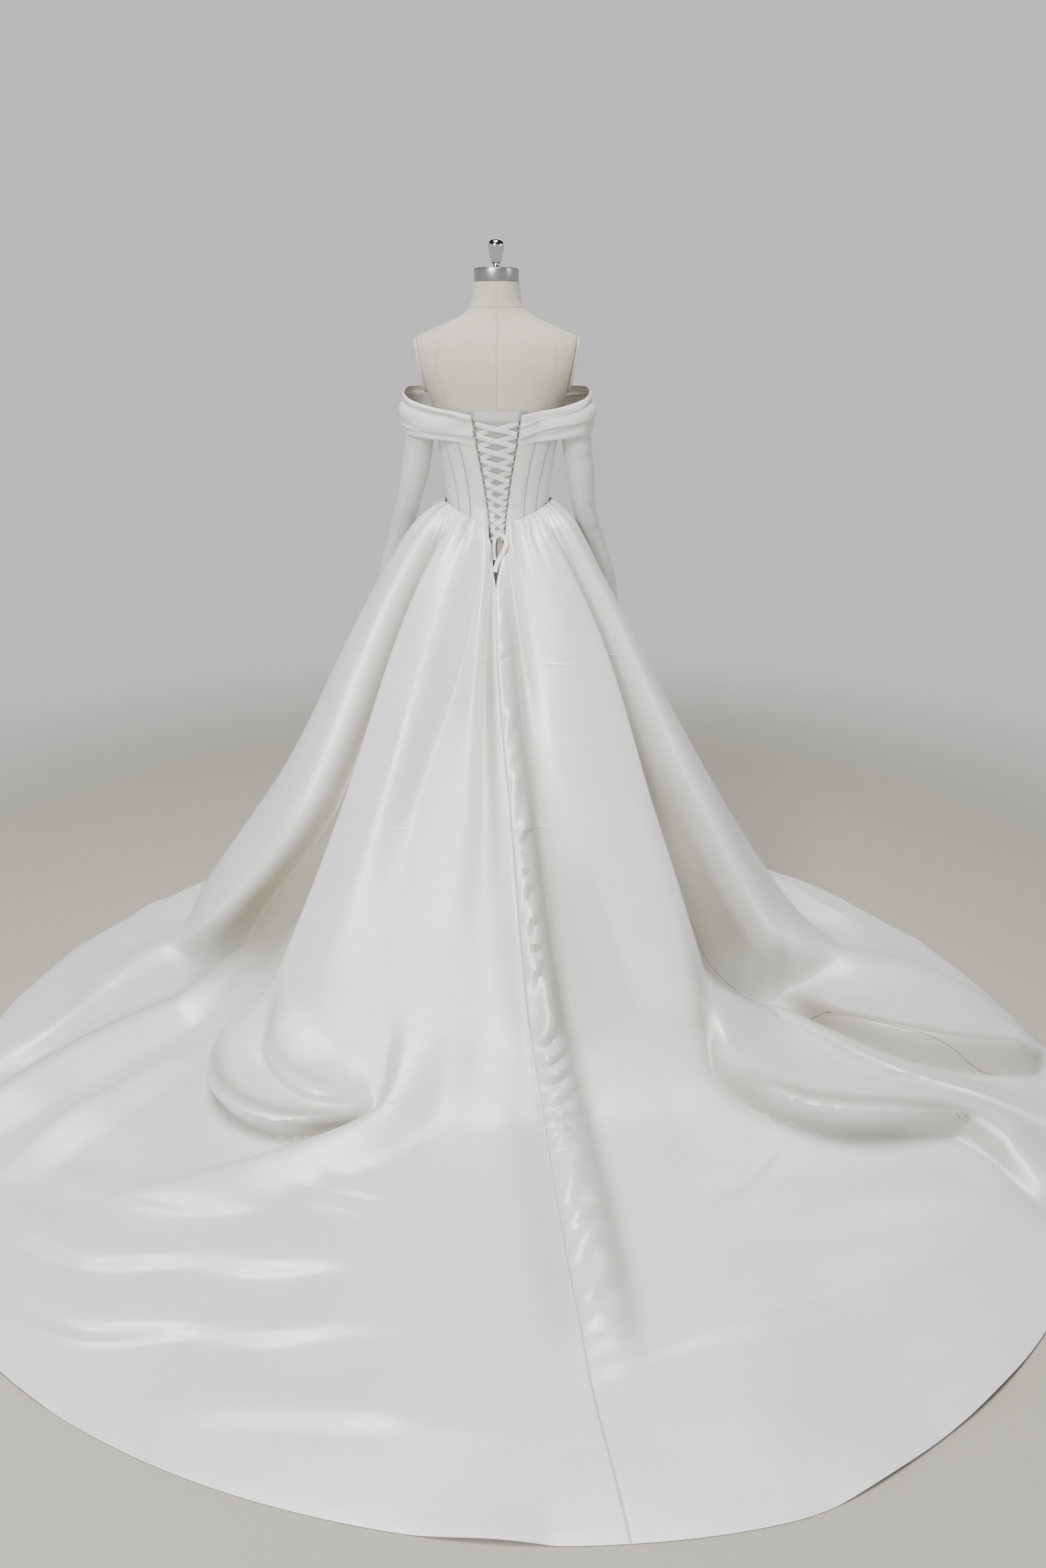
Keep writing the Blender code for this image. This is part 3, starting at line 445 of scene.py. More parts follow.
def closed_skin(name, rings, material, sharp=50):
    """Tube of rings that is closed flat at both ends."""
    count, sides = rings.shape[:2]
    index = np.arange(count * sides).reshape(count, sides)
    a, b = index[:-1], np.roll(index, -1, 1)[:-1]
    c, d = np.roll(index, -1, 1)[1:], index[1:]
    faces = np.stack((a, b, c, d), -1).reshape(-1, 4).tolist()
    faces += [index[0, ::-1].tolist(), index[-1].tolist()]
    return add_mesh(name, rings.reshape(-1, 3).tolist(), faces, material, sharp=sharp)


heights = np.concatenate((np.arange(0.840, 1.300, 0.010), np.arange(1.300, 1.5975, 0.005),
                          [CAP_BOTTOM - 0.0005]))
around = np.arange(0, 360, 2.5)
torso = closed_skin("torso_cover", form_skin(around[None, :], heights[:, None]), form_linen, 34)
stand_in(torso, "form_linen", "form_torso")


# %% Seams of the form's cover
def cord_mesh(name, path, radius, material, sides=6):
    """Round cord along points."""
    path = np.asarray(path, float)
    along = unit(np.gradient(path, axis=0))
    side = unit(np.cross(along, np.array((0.0, -0.9, 0.43))))
    lift = np.cross(side, along)
    turns = 2 * np.pi * np.arange(sides) / sides
    ring = np.cos(turns)[None, :, None] * side[:, None] - np.sin(turns)[None, :, None] * lift[:, None]
    return closed_skin(name, path[:, None] + ring * radius, material, 70)


def along_body(angles, heights, lift):
    """Points down the figure, lifted off it."""
    points, _, out = facing(body, np.asarray(angles, float), np.asarray(heights, float), 0.5, 0.004)
    return points + out * lift


def cover_seam(name, angles, heights, closed=False):
    """Fine cord on the form's linen."""
    path = along_body(angles, heights, 0.0001)
    seam = cord_mesh(name, path[:-1] if closed else path, 0.0006, seam_thread)
    stand_in(seam, "form_linen")


# angle at each height, shoulders down to the waist
PRINCESS_SEAM = ((1.10, 40.0), (1.20, 42.0), (1.30, 44.0), (1.40, 42.0), (1.47, 36.0), (1.492, 33.0))
down = np.linspace(1.492, 1.10, 60)
angles = columns_of(PRINCESS_SEAM, down)[0]
for word, side in (("right", 1), ("left", -1)):
    cover_seam(f"princess_seam_back_{word}", side * angles, down)
    cover_seam(f"princess_seam_front_{word}", side * (185 - angles), down)
back = np.linspace(1.590, 1.10, 90)
cover_seam("center_back_seam_form", 0 * back, back)
cover_seam("center_front_seam_form", 0 * back + 180, back)
around = np.linspace(0, 360, 97)
cover_seam("neck_seam_form", around, 0 * around + 1.546, True)
print("seams on the form sewn")

# %% [markdown]
# The arm plates, cap, pole and base are turned or pressed parts. A cylinder with bevelled rims is
# close to how they are made.


# %% Pressed and turned parts of the form
def select_only(piece):
    bpy.ops.object.select_all(action="DESELECT")
    piece.select_set(True)
    bpy.context.view_layer.objects.active = piece


def settle(piece, material, slot, *nodes):
    """Applies a piece's place and modifiers, and gives it its finish."""
    select_only(piece)
    for modifier in list(piece.modifiers):
        bpy.ops.object.modifier_apply(modifier=modifier.name)
    bpy.ops.object.transform_apply(location=True, rotation=True, scale=True)
    bpy.ops.object.shade_smooth_by_angle(angle=math.radians(32))
    piece.select_set(False)
    piece.data.materials.clear()
    piece.data.materials.append(material)
    stand_in(piece, slot, *nodes)


def rounded_disc(name, radius, low, high, bevel, sides=72):
    bpy.ops.mesh.primitive_cylinder_add(vertices=sides, radius=radius, depth=high - low,
                                        location=(0, 0, (low + high) / 2))
    piece = bpy.context.object
    piece.name = name
    edge = piece.modifiers.new("rims", "BEVEL")
    edge.width = bevel
    edge.segments = 3
    edge.limit_method = "ANGLE"
    edge.angle_limit = math.radians(50)
    return piece


PLATE = {"height": 1.425, "half_height": 0.062, "half_depth": 0.044, "wall": 0.008, "back": -0.006,
         "gap": 0.00036}
lean = math.atan(ARMHOLE["slope"])
for word, side in (("right", 1), ("left", -1)):
    seat = armhole_reach(PLATE["height"]) + PLATE["gap"]
    plate = rounded_disc(f"arm_plate_{word}", 1.0, 0.0, PLATE["wall"], 0.0026)
    plate.location = (0, 0, 0)
    for point in plate.data.vertices:
        up, deep, out = point.co.x, point.co.y, point.co.z + PLATE["wall"] / 2
        scale = 1.0 - 0.04 * out / PLATE["wall"]
        z = up * PLATE["half_height"] * scale
        point.co = (side * (seat + z * math.sin(lean) + out * math.cos(lean)),
                    PLATE["back"] + deep * side * PLATE["half_depth"] * scale,
                    PLATE["height"] + z * math.cos(lean) - out * math.sin(lean))
    settle(plate, form_linen, "form_linen", f"form_arm_plate_{word}")

# name, radius, bottom, top, bevel, sides
TURNED = (
    ("neck_cap", 0.0505, CAP_BOTTOM, 1.6265, 0.0022, 96),
    ("stand_pole", 0.0127, 0.0143, 0.8397, 0.001, 40),
    ("stand_base", 0.190, 0.0, 0.014, 0.005, 96),
)
for turned, node in zip(TURNED, ("form_neck_cap", "form_pole", "form_base")):
    settle(rounded_disc(*turned), brushed_steel, "brushed_steel", node)

# %% [markdown]
# The knob is a lathe job: half of its outline, spun once round the axis.

# %% The knob
# radius, height above the stem's foot
KNOB = ((0, 0), (.0095, 0), (.0085, .002), (.008, .009), (.01, .0108), (.0118, .0118), (.0122, .015),
        (.013, .018), (.0158, .03), (.0176, .038), (.0182, .044), (.0176, .05), (.0155, .0545),
        (.0115, .0575), (.006, .0588), (0, .0592))
KNOB_FOOT = 1.6268
outline = bpy.data.meshes.new("knob")
outline.from_pydata([(radius, 0, KNOB_FOOT + rise) for radius, rise in KNOB],
                    [(i, i + 1) for i in range(len(KNOB) - 1)], [])
knob = bpy.data.objects.new("knob", outline)
bpy.context.collection.objects.link(knob)
select_only(knob)
bpy.ops.object.mode_set(mode="EDIT")
bpy.ops.mesh.select_all(action="SELECT")
bpy.ops.mesh.spin(steps=48, angle=2 * math.pi, center=(0, 0, 0), axis=(0, 0, 1))
bpy.ops.mesh.select_all(action="SELECT")
bpy.ops.mesh.remove_doubles(threshold=0.00005)
bpy.ops.mesh.normals_make_consistent(inside=False)
bpy.ops.object.mode_set(mode="OBJECT")
settle(knob, polished_chrome, "chrome", "form_knob")
print("form done")

# %% [markdown]
# ## The bodice
#
# A corset bodice is cut in narrow panels with a bone down each seam. Each panel is a sheet over
# the figure that bellies a little and dips into its seams, with a stitched channel either side.

# %% Corset panels
# the gap behind the lacing: its foot and top, half its width there, and how far its edges bow out
LACING = {"foot": 1.070, "top": 1.317, "angle_foot": 8.5, "angle_top": 19.5, "bow": 2.2}


def up_lacing(height):
    return (height - LACING["foot"]) / (LACING["top"] - LACING["foot"])


def bow_angle(height):
    return LACING["bow"] * np.sin(np.pi * clamp(up_lacing(height)))


def gap_angle(height):
    """Angle of a bodice edge beside the lacing."""
    return mix(LACING["angle_foot"], LACING["angle_top"], up_lacing(height)) + bow_angle(height)


BODICE = {"lift": 0.0025, "wall": 0.0020, "shell": 0.0013, "allowance": 0.010}
# the figure's usual radius at the bodice, and the way from a piece's cut edge to the middle of its seam
PANEL_RADIUS = 0.115
SEAM_GAP = 0.00015
# name, then the seam towards the centre back and the seam towards the front: angle at the waist, at the top
PANELS = (
    ("center_back", (8.5, 19.5), (31.0, 39.5)),
    ("side_back", (31.0, 39.5), (48.0, 63.0)),
    ("side", (48.0, 63.0), (98.0, 101.0)),
    ("front_side", (98.0, 101.0), (146.0, 142.0)),
)
# angle, height of the waist seam, height of the bodice's top edge
EDGES = (
    (0, 1.054, 1.318), (14, 1.08, 1.316), (45, 1.103, 1.308), (77, 1.122, 1.303), (100, 1.126, 1.306),
    (140, 1.106, 1.334), (180, 1.085, 1.322),
)
# distance from a seam, depth of the dip there
SEAM_DIPS = ((0, .0014), (.0007, .0012), (.002, .0004), (.004, 0), (.0056, 0), (.0064, .0005), (.0072, 0),
             (.01, 0))


def seam_columns(width, middle, reach=0.010):
    """Distances across a panel of this width, close together beside both seams."""
    near = [distance for distance, _ in SEAM_DIPS]
    centre = np.linspace(reach, width - reach, middle + 1)[1:-1]
    return np.concatenate((near, centre, [width - distance for distance in near[::-1]]))


def seam_depth(distance, width):
    keys, depths = zip(*SEAM_DIPS)
    return np.interp(np.minimum(distance, width - distance), keys, depths)


def corset_panel(name, start, end, node, middle=12, rows=40):
    """Sheet between two seams. start and end are (angle at the waist, angle at the top)."""
    v = np.linspace(0, 1, rows)[:, None]
    width = math.radians(abs(mix(*end, 0.5) - mix(*start, 0.5))) * PANEL_RADIUS
    across = seam_columns(width, middle)
    t = (across / width)[None, :]
    angle = mix(mix(*start, v), mix(*end, v), t)
    waist, top = columns_of(EDGES, front_angle(angle))
    height = np.where(v == 0, waist - BODICE["allowance"], mix(waist, top, v))
    if name.startswith("center_back"):
        beside = 1 - t if start[0] > 0 else t
        angle = angle + math.copysign(1, start[0]) * bow_angle(height) * beside
    points, way, out = facing(body, angle, height)
    points = points + way * np.where(t == 0, 1, np.where(t == 1, -1, 0))[..., None] * SEAM_GAP
    dip = seam_depth(across, width)[None, :]
    belly = 0.0007 * np.sin(np.pi * t) - dip
    belly = belly + 0.0004 * wave(height / 0.055 + angle / 40.0) * np.sin(np.pi * t)
    belly = belly - 0.0012 * bell(v - 1, 0.012)
    outer = points + out * (BODICE["lift"] + BODICE["wall"] + belly)[..., None]
    # painted shade in the dips along the seams
    piece = cloth_shell(name, outer, out, BODICE["shell"], gown_satin, np.clip(dip * 620 + 0 * v, 0, 0.85))
    place_cloth(piece, node)


for panel, start, end in PANELS:
    corset_panel(f"{panel}_panel_right", start, end, f"bodice_{panel}_right")
    mirrored = [(-foot, -top) for foot, top in (end, start)]
    corset_panel(f"{panel}_panel_left", *mirrored, f"bodice_{panel}_left")
foot, top = PANELS[-1][2]
corset_panel("center_front_panel", (foot, top), (360 - foot, 360 - top), "bodice_center_front", 22)

# %% [markdown]
# Behind the lacing lies a plain panel of the same satin, so that nothing shows through the gap.

# %% Panel behind the lacing
MODESTY = {"foot": 1.051, "top": 1.3275, "tuck": 5.0, "lift": 0.0013, "shell": 0.0006}
height = np.linspace(MODESTY["foot"], MODESTY["top"], 50)[:, None]
angle = (gap_angle(height) + MODESTY["tuck"]) * np.linspace(-1, 1, 41)[None, :]
points, _, out = facing(body, angle, height + 0 * angle)
outer = points + out * (MODESTY["lift"] + 0.00015 * wave(height / 0.026 + angle / 60.0))[..., None]
# painted shadow where the bodice's edges and its top edge shade the panel
painted_shadow = 0.45 * clamp(np.abs(angle) / gap_angle(height) * 8 - 6.6)
painted_shadow = painted_shadow + mix(0.16, 0.52, clamp((1.312 - height) / 0.006))
# painted shade: the whole panel is darker than the satin, to look in shadow behind the lacing
modesty = cloth_shell("modesty_sheet", outer, out, MODESTY["shell"], panel_satin_painted_shade, clamp(painted_shadow))
place_cloth(modesty, "modesty_panel")

# %% [markdown]
# ## Lacing
#
# One long satin ribbon crosses ten times. Where two stretches cross, the upper one is lifted
# over the lower. Elastic loops down both bodice edges hold the ribbon.

# %% Ribbon stretches
LACE = {"rows": 10, "pitch": 0.0262, "drop": 0.0232, "top": 1.3010, "width": 0.0116, "end_width": 0.0098,
        "under": 0.0024, "over": 0.0044, "inset_top": 0.0034, "inset_foot": 0.0030}


def inside_gap(side, height, inset):
    """Angle at an inset from a bodice edge, towards the centre back."""
    radius = np.linalg.norm(body(side * gap_angle(height), height)[..., :2], axis=-1)
    return side * (gap_angle(height) - np.degrees(inset / radius))


def lace_edge(height, side):
    return inside_gap(side, height, mix(LACE["inset_foot"], LACE["inset_top"], up_lacing(height)))


def ribbon_stretch(name, row, side):
    """One crossing of the ribbon. side -1 falls from -X and lies on top."""
    high = LACE["top"] - row * LACE["pitch"]
    low = high - LACE["drop"]
    first, last = (high, low) if side < 0 else (low, high)
    t = np.linspace(0, 1, 27)
    angle, height = mix(lace_edge(first, -1), lace_edge(last, 1), t), mix(first, last, t)
    points, _, out = facing(body, angle, height)
    along = unit(np.gradient(points, axis=0))
    inward = np.minimum(t, 1 - t)
    width = mix(LACE["end_width"], LACE["width"], np.minimum(1, inward / 0.12))
    lift = LACE["under"] + 0 * t
    if side < 0:
        lift = mix(LACE["over"] - 0.0003, LACE["over"], np.minimum(1, inward / 0.25))
    lift = lift + 0.0003 * wave(t * 1.5 + row * 0.37 + side * 0.2)
    v = np.linspace(-0.5, 0.5, 9)[:, None]
    crown = 0.0008 * (1 - (2 * v) ** 2) + 0.0003 * wave(t[None, :] * 2 + row * 0.3) * v
    side_step = np.cross(out, along) * width[:, None]
    outer = (points + out * lift[:, None])[None] + side_step[None] * v[..., None]
    outer = outer + out[None] * (crown + 0.0006)[..., None]
    # painted shade: darker towards the ends, where the ribbon runs into the loops, and along both edges
    shade = np.clip(0.35 - inward / 0.10, 0, 0.35)[None, :] + 0.30 * np.abs(2 * v) ** 8
    if side > 0:
        # painted shadow of the upper stretch
        shade = shade + 0.75 * np.exp(-((t - 0.40) / 0.13) ** 4)[None, :]
    return cloth_shell(name, outer, np.broadcast_to(out, outer.shape), 0.0007, ribbon_satin, shade)


for word, side in (("over", -1), ("under", 1)):
    for row in range(LACE["rows"]):
        stand_in(ribbon_stretch(f"ribbon_{word}_{row + 1}", row, side), "ribbon", f"lace_{word}_{row + 1}")
print("ribbon stretches:", 2 * LACE["rows"])

# %% Elastic loops
# a loop's middle above its crossing, and the cord's lift off the figure and its radius
LOOP_MIDDLE, CORD_LIFT, CORD_RADIUS = 0.0036, 0.0036, 0.0006
# height above a loop's middle, how far the cord lies inside the edge
LOOP = ((.0128, -.0004), (.0098, .0006), (.0064, .0026), (0, .0034), (-.0064, .0026), (-.0098, .0006))


def loop_cord(name, side, node):
    """Elastic cord down a bodice edge, looped out at every crossing."""
    middles = [LACE["top"] - row * LACE["pitch"] + LOOP_MIDDLE for row in range(LACE["rows"])]
    heights = [middle + rise for middle in middles for rise, _ in LOOP]
    insets = [inset for _ in middles for _, inset in LOOP]
    knots = np.arange(len(insets))
    fine = np.linspace(0, len(insets) - 1, len(insets) * 3)
    height = np.interp(fine, knots, heights)
    angle = inside_gap(side, height, curve(knots, insets, fine))
    cord = cord_mesh(name, along_body(angle, height, CORD_LIFT), CORD_RADIUS, loop_elastic)
    stand_in(cord, "ribbon", node)


loop_cord("loop_cord_right", 1, "lace_loop_cord_right")
loop_cord("loop_cord_left", -1, "lace_loop_cord_left")

# %% [markdown]
# Below the last crossing the ribbon's two ends come out over the slit: one hangs as a loop, the
# other is a short free tail. Both are limp, so they follow the cloth under them.

# %% Hanging ribbon
LACE_LOOP = ((0, -.0985, 1.0495), (.007, -.109, 1.057), (.017, -.1215, 1.0555), (.0215, -.1335, 1.044),
             (.017, -.143, 1.029), (.006, -.152, 1.011), (-.002, -.161, .9935), (-.0048, -.17, .982))
LACE_TAIL = ((-.005, -.096, 1.047), (-.008, -.108, 1.034), (-.008, -.123, 1.019), (-.006, -.14, 1.004))
OFF_THE_SLIT = np.array((0.0, -1.0, 0.75))


def path_points(route, count):
    route = np.asarray(route, float)
    far = np.concatenate(([0], np.cumsum(np.linalg.norm(np.diff(route, axis=0), axis=1))))
    at = np.linspace(0, far[-1], count)
    return np.stack([curve(far, route[:, k], at) for k in range(3)], 1), far[-1]


def hanging_ribbon(name, route, width, node):
    path, length = path_points(route, 37)
    along = unit(np.gradient(path, axis=0))
    out = unit(OFF_THE_SLIT[None] - along * (along @ OFF_THE_SLIT)[:, None])
    v = np.linspace(-0.5, 0.5, 7)[:, None]
    side = np.cross(out, along) * width
    outer = path[None] + side[None] * v[..., None] + out[None] * (0.0008 * (1.2 - (2 * v) ** 2))[..., None]
    # painted shade along both edges of the ribbon, and a little all over
    edge = 0.50 * np.abs(2 * v) ** 6 + 0.05 + 0 * path[None, :, 0]
    piece = cloth_shell(name, outer, np.broadcast_to(out, outer.shape), 0.0008, ribbon_satin, edge)
    stand_in(piece, "ribbon", node)
    print(f"{name}: {1000 * length:.0f} mm of ribbon")


hanging_ribbon("hanging_loop", LACE_LOOP, 0.0108, "lace_hanging_loop")
hanging_ribbon("free_tail", LACE_TAIL, 0.0078, "lace_tail")

# %% [markdown]
# ## Collar and sleeves
#
# The collar is a bias strip draped round the arms. Its folds overlap, so each fold is a lip:
# the cloth above the line stands proud and falls back slowly.

# %% Draped collar
# angle, stand-off from the figure, top, bottom, first trough, second trough (0 bottom, 1 top)
COLLAR = (
    (19.8, .0053, 1.319, 1.252, .14, .72), (35, .0064, 1.327, 1.259, .15, .74),
    (50, .029, 1.333, 1.265, .18, .76), (62, .054, 1.342, 1.269, .24, .77),
    (75, .074, 1.354, 1.275, .32, .78), (90, .08, 1.368, 1.281, .36, .80),
    (105, .08, 1.377, 1.284, .36, .80), (120, .064, 1.378, 1.279, .34, .78),
    (135, .034, 1.368, 1.268, .32, .75), (150, .011, 1.352, 1.255, .30, .72),
    (165, .0053, 1.338, 1.246, .30, .70), (180, .0053, 1.332, 1.242, .30, .70),
)
COLLAR_START, COLLAR_END = COLLAR[0][0], COLLAR[-1][0]
# For each fold: heights up the collar (0 to 1) at the angles below, depth, and how far it falls back
FOLD_ANGLES = (19, 35, 50, 65, 80, 100, 140, 181)
COLLAR_FOLDS = {
    "right": (((.22, .32, .40, .38, .44, .50, .45, .35), 0.0034, 0.30),
              ((.62, .66, .72, .78, .86, .84, .76, .66), 0.0020, 0.16)),
    "left": (((.84, .86, .88, .90, .93, .92, .80, .66), 0.0036, 0.20),
             ((.30, .26, .22, .18, .20, .34, .42, .35), 0.0024, 0.28)),
}
# the collar stands straight up from here
BUST_TOP = 1.33


def collar_skin(angle, v):
    """Inner face of the collar, before its folds."""
    stand_off, top, bottom, low_trough, high_trough = columns_of(COLLAR, np.abs(angle))
    height = mix(bottom, top, v)
    swell = 0.0060 * np.sin(np.pi * v) * np.minimum(1, stand_off / 0.03)
    for trough in (low_trough, high_trough):
        swell = swell - 0.0035 * bell(v - trough, 0.09) * np.minimum(1, stand_off / 0.02)
    points, _, out = facing(body, angle, np.minimum(height, BUST_TOP))
    out[..., 2] = 0
    out = unit(out)
    points[..., 2] = height
    lean = 0.25 * v * np.maximum(0, stand_off - 0.01)
    return points + out * (stand_off - lean + swell)[..., None]


def seam_edges(lift):
    """How far a sheet's first and last column lie back from their seams, the way across it."""
    back = np.zeros_like(lift)
    back[:, 0] = SEAM_GAP
    back[:, -1] = -SEAM_GAP
    return back[..., None]


def collar_half(word, side):
    """Draped strip from the lacing round the arm to the centre front."""
    v = np.unique(np.concatenate((np.linspace(0, 1, 64), [0.006, 0.994])))[:, None]
    angle = np.linspace(COLLAR_START, COLLAR_END, 230)[None, :]
    angle = angle if side > 0 else -angle[:, ::-1]
    across = np.abs(angle)
    points, way, out = facing(collar_skin, angle + 0 * v, v + 0 * angle, 0.5, 0.02)
    lift = 0 * v + 0 * angle
    shade = 0 * lift
    for heights, depth, fall in COLLAR_FOLDS[word]:
        line = columns_of(tuple(zip(FOLD_ANGLES, heights)), across)[0]
        line = line + 0.018 * np.sin(across / 7.0 + 7200 * depth)
        above = v - line
        lip = 1 / (1 + np.exp(-np.clip(above / 0.012, -40, 40)))
        lift = lift + depth * lip * np.exp(-np.maximum(above, 0) / fall)
        # painted shade under each fold's lip
        shade = shade + 0.75 * bell(above + 0.035, 0.035)
    lift = lift + 0.0007 * np.sin(across / 5.0 + 9 * v) * np.sin(np.pi * v)
    ends = np.minimum(across - COLLAR_START, COLLAR_END - across)
    lift = lift - 0.0012 * np.exp(-ends / 0.8) - 0.0011 * np.exp(-np.minimum(v, 1 - v) / 0.012)
    outer = points + way * seam_edges(lift) + out * (0.0022 + lift)[..., None]
    shade = np.clip(shade, 0, 0.7)
    # the collar's inner face gets less painted shade than other pieces
    piece = cloth_shell(f"draped_collar_{word}", outer, out, 0.0016, collar_satin, shade, 0.15)
    place_cloth(piece, f"collar_{word}")


collar_half("right", 1)
collar_half("left", -1)

# %% [markdown]
# Each sleeve is a tube of two panels. It hangs from inside the collar, bends forward at the
# elbow, where it wrinkles, and narrows to the wrist.

# %% Sleeves
# height, centre x, centre y, half width, half depth
SLEEVE = (
    (0.745, .2900, .215, .0250, .034), (0.780, .2860, .203, .0250, .035), (0.860, .2760, .172, .0255, .038),
    (0.940, .2595, .137, .0260, .040), (1.025, .2290, .098, .0265, .044), (1.110, .2050, .048, .0268, .048),
    (1.200, .1925, .014, .0315, .053), (1.270, .1834, .004, .0318, .055), (1.315, .1844, .004, .0308, .055),
)
CUFF, SLEEVE_TOP = SLEEVE[0][0], SLEEVE[-1][0]
# height of a wrinkle, where round the arm, how far it slants, depth
WRINKLES = ((1.225, -60, .012, .0016), (1.175, 20, -.010, .0018), (1.120, -30, .014, .0022),
            (1.088, 40, -.012, .0024), (1.052, -50, .010, .0022), (1.018, 30, -.010, .0018),
            (.960, -20, .012, .0012), (.890, 60, -.010, .0012), (.815, -40, .008, .0014),
            (.775, 30, -.008, .0014))


def sleeve_half(name, side, start, node):
    """Half of a sleeve's tube, from the angle start."""
    def skin(turn, height):
        x, y, half_width, half_depth = columns_of(SLEEVE, height)
        if side < 0:
            # the left forearm hangs a little further out
            fade = clamp((1.22 - height) / 0.16)
            x = x + 0.016 * fade * fade * (3 - 2 * fade)
        angle = np.radians(turn)
        return np.stack((side * x + half_width * np.cos(angle), y + half_depth * np.sin(angle), height), -1)

    turn = start + 180 * np.linspace(0, 1, 33)[None, :]
    height = np.linspace(CUFF, SLEEVE_TOP, 120)[:, None]
    points, way, out = facing(skin, turn + 0 * height, height + 0 * turn, 1.0, 0.004)
    lift = 0 * points[..., 0]
    for middle, where, slant, depth in WRINKLES:
        place = (turn - where * side + 180) % 360 - 180
        above = height - middle - slant * place / 60.0
        crease = 0.5 * bell(above - 0.014, 0.010) - bell(above, 0.0075)
        lift = lift + depth * crease * bell(place, 55.0)
    seam = np.minimum(turn - start, start + 180 - turn) * 0.0007
    lift = lift - 0.0008 * np.exp(-seam / 0.0012) - 0.0008 * np.exp(-(height - CUFF) / 0.0012)
    outer = points + way * seam_edges(lift) + out * (0.0019 + lift)[..., None]
    # painted shade in the wrinkles' creases
    piece = cloth_shell(name, outer, out, 0.0012, sleeve_satin, np.clip(-lift * 160, 0, 0.5))
    place_cloth(piece, node)


for word, side in (("right", 1), ("left", -1)):
    outside = -90 if side > 0 else 90
    sleeve_half(f"sleeve_top_{word}", side, outside, f"sleeve_upper_{word}")
    sleeve_half(f"sleeve_under_panel_{word}", side, outside + 180, f"sleeve_under_{word}")

# %% [markdown]
# ## The skirt
#
# The skirt is described by its fold lines: the crest of each roll and the bottom of each valley,
# followed from the waist over hip, knee and calf to the floor and out to the hem. The surface
# runs smoothly from line to line.

# %% Fold lines
CLOTH_AT_LEVEL = (0.0, 0.06, 0.17, 0.72, 1.08, 1.33, 1.55, 1.75, 1.95)
HEM_CLOTH = CLOTH_AT_LEVEL[-1]
HIP, KNEE, CALF = 0.950, 0.500, 0.200
# name, waist angle, hip, knee, calf (angle, radius), floor, train, sweep (angle, radius, height), hem angle
FOLDS = (
    ("back_seam", 0, (-.5, .208), (3.8, .52), (5, .777),
     (6, .965, .05), (6, 1.19, .01), (6, 1.46, .004), 6.5),
    ("strip_valley_r", 8, (10, .194), (10.5, .492), (12, .76),
     (12, .962, .042), (12.5, 1.19, .004), (13, 1.47, 0), 13.5),
    ("roll_flank_r", 15, (16.5, .218), (20, .515), (21, .765),
     (21, .962, .052), (21, 1.15, .01), (22, 1.4, 0), 24),
    ("roll_crest_r", 31, (31.5, .246), (33, .55), (30.5, .8),
     (31, .91, .085), (30.5, 1.08, .06), (43, 1.27, .05), 44),
    ("roll_edge_r", 45, (46, .257), (39.5, .545), (35, .775),
     (50.8, .85, .05), (48.5, 1.07, .04), (50.5, 1.28, .03), 52),
    ("valley_r", 52, (50, .205), (43, .465), (42, .68),
     (56, .76, 0), (53.5, .98, 0), (55, 1.2, 0), 58),
    ("side_flank_r", 59, (57, .235), (51, .5), (52, .7),
     (60.5, .82, .02), (57.5, 1, .02), (58.5, 1.2, .015), 61),
    ("side_crest_r", 70, (65, .265), (60, .55), (60, .76),
     (65.5, .88, .12), (66.5, 1.02, .09), (67.5, 1.15, .06), 67),
    ("outline_r", 84, (84, .25), (80, .502), (77, .7),
     (79, .88, .04), (77, 1, .03), (75, 1.12, .015), 74),
    ("outline_l", -84, (-84, .28), (-79, .532), (-79, .75),
     (-82, .86, .03), (-79, .98, .02), (-73, 1.1, .01), -68),
    ("side_crest_l", -69, (-60, .285), (-56, .56), (-63, .77),
     (-70.5, .86, .1), (-65, 1, .07), (-60, 1.14, .04), -58),
    ("valley_l", -60, (-51, .215), (-47, .475), (-57, .66),
     (-64, .745, 0), (-60.5, .98, 0), (-56.5, 1.18, 0), -54),
    ("band_crest_l", -54, (-47, .215), (-42.5, .475), (-50, .7),
     (-60, .83, .08), (-56, 1.08, .055), (-52, 1.26, .035), -50),
    ("layer_edge_l", -48, (-43.5, .225), (-39.5, .5), (-39, .74),
     (-49.4, .9, .04), (-46, 1.15, .03), (-44, 1.32, .02), -43),
    ("roll_edge_l", -42, (-41, .272), (-37.2, .563), (-34.8, .81),
     (-37.3, .955, .055), (-36, 1.12, .015), (-35, 1.35, 0), -34),
    ("roll_crest_l", -29, (-28, .258), (-28, .568), (-28, .81),
     (-28, .975, .055), (-27, 1.2, .008), (-26, 1.43, 0), -26),
    ("roll_flank_l", -17, (-12.5, .199), (-19, .524), (-18, .79),
     (-17, .968, .05), (-16, 1.2, .006), (-16, 1.45, 0), -16),
    ("strip_ridge_l", -10.5, (-9, .214), (-8, .523), (-8, .782),
     (-8, .968, .05), (-8, 1.2, .006), (-8, 1.45, 0), -8),
    ("strip_valley_l", -5, (-5, .197), (-2.5, .509), (-1.5, .775),
     (-1, .962, .042), (-1, 1.2, .004), (-1, 1.45, 0), -1),
)
# the front is plain and even: angle, height of the crest at the knee
FRONT_FOLDS = ((97, -0.012), (110, 0.014), (124, -0.020), (141, 0.018), (158, -0.016))
# radius of the front half at the side and at the centre front, and the share of the crest
FRONT_SHAPE = {"hip": (.25, .185, .45), "knee": (.505, .36, 1), "calf": (.69, .47, 1.2),
               "floor": (.82, .56, 1.2)}
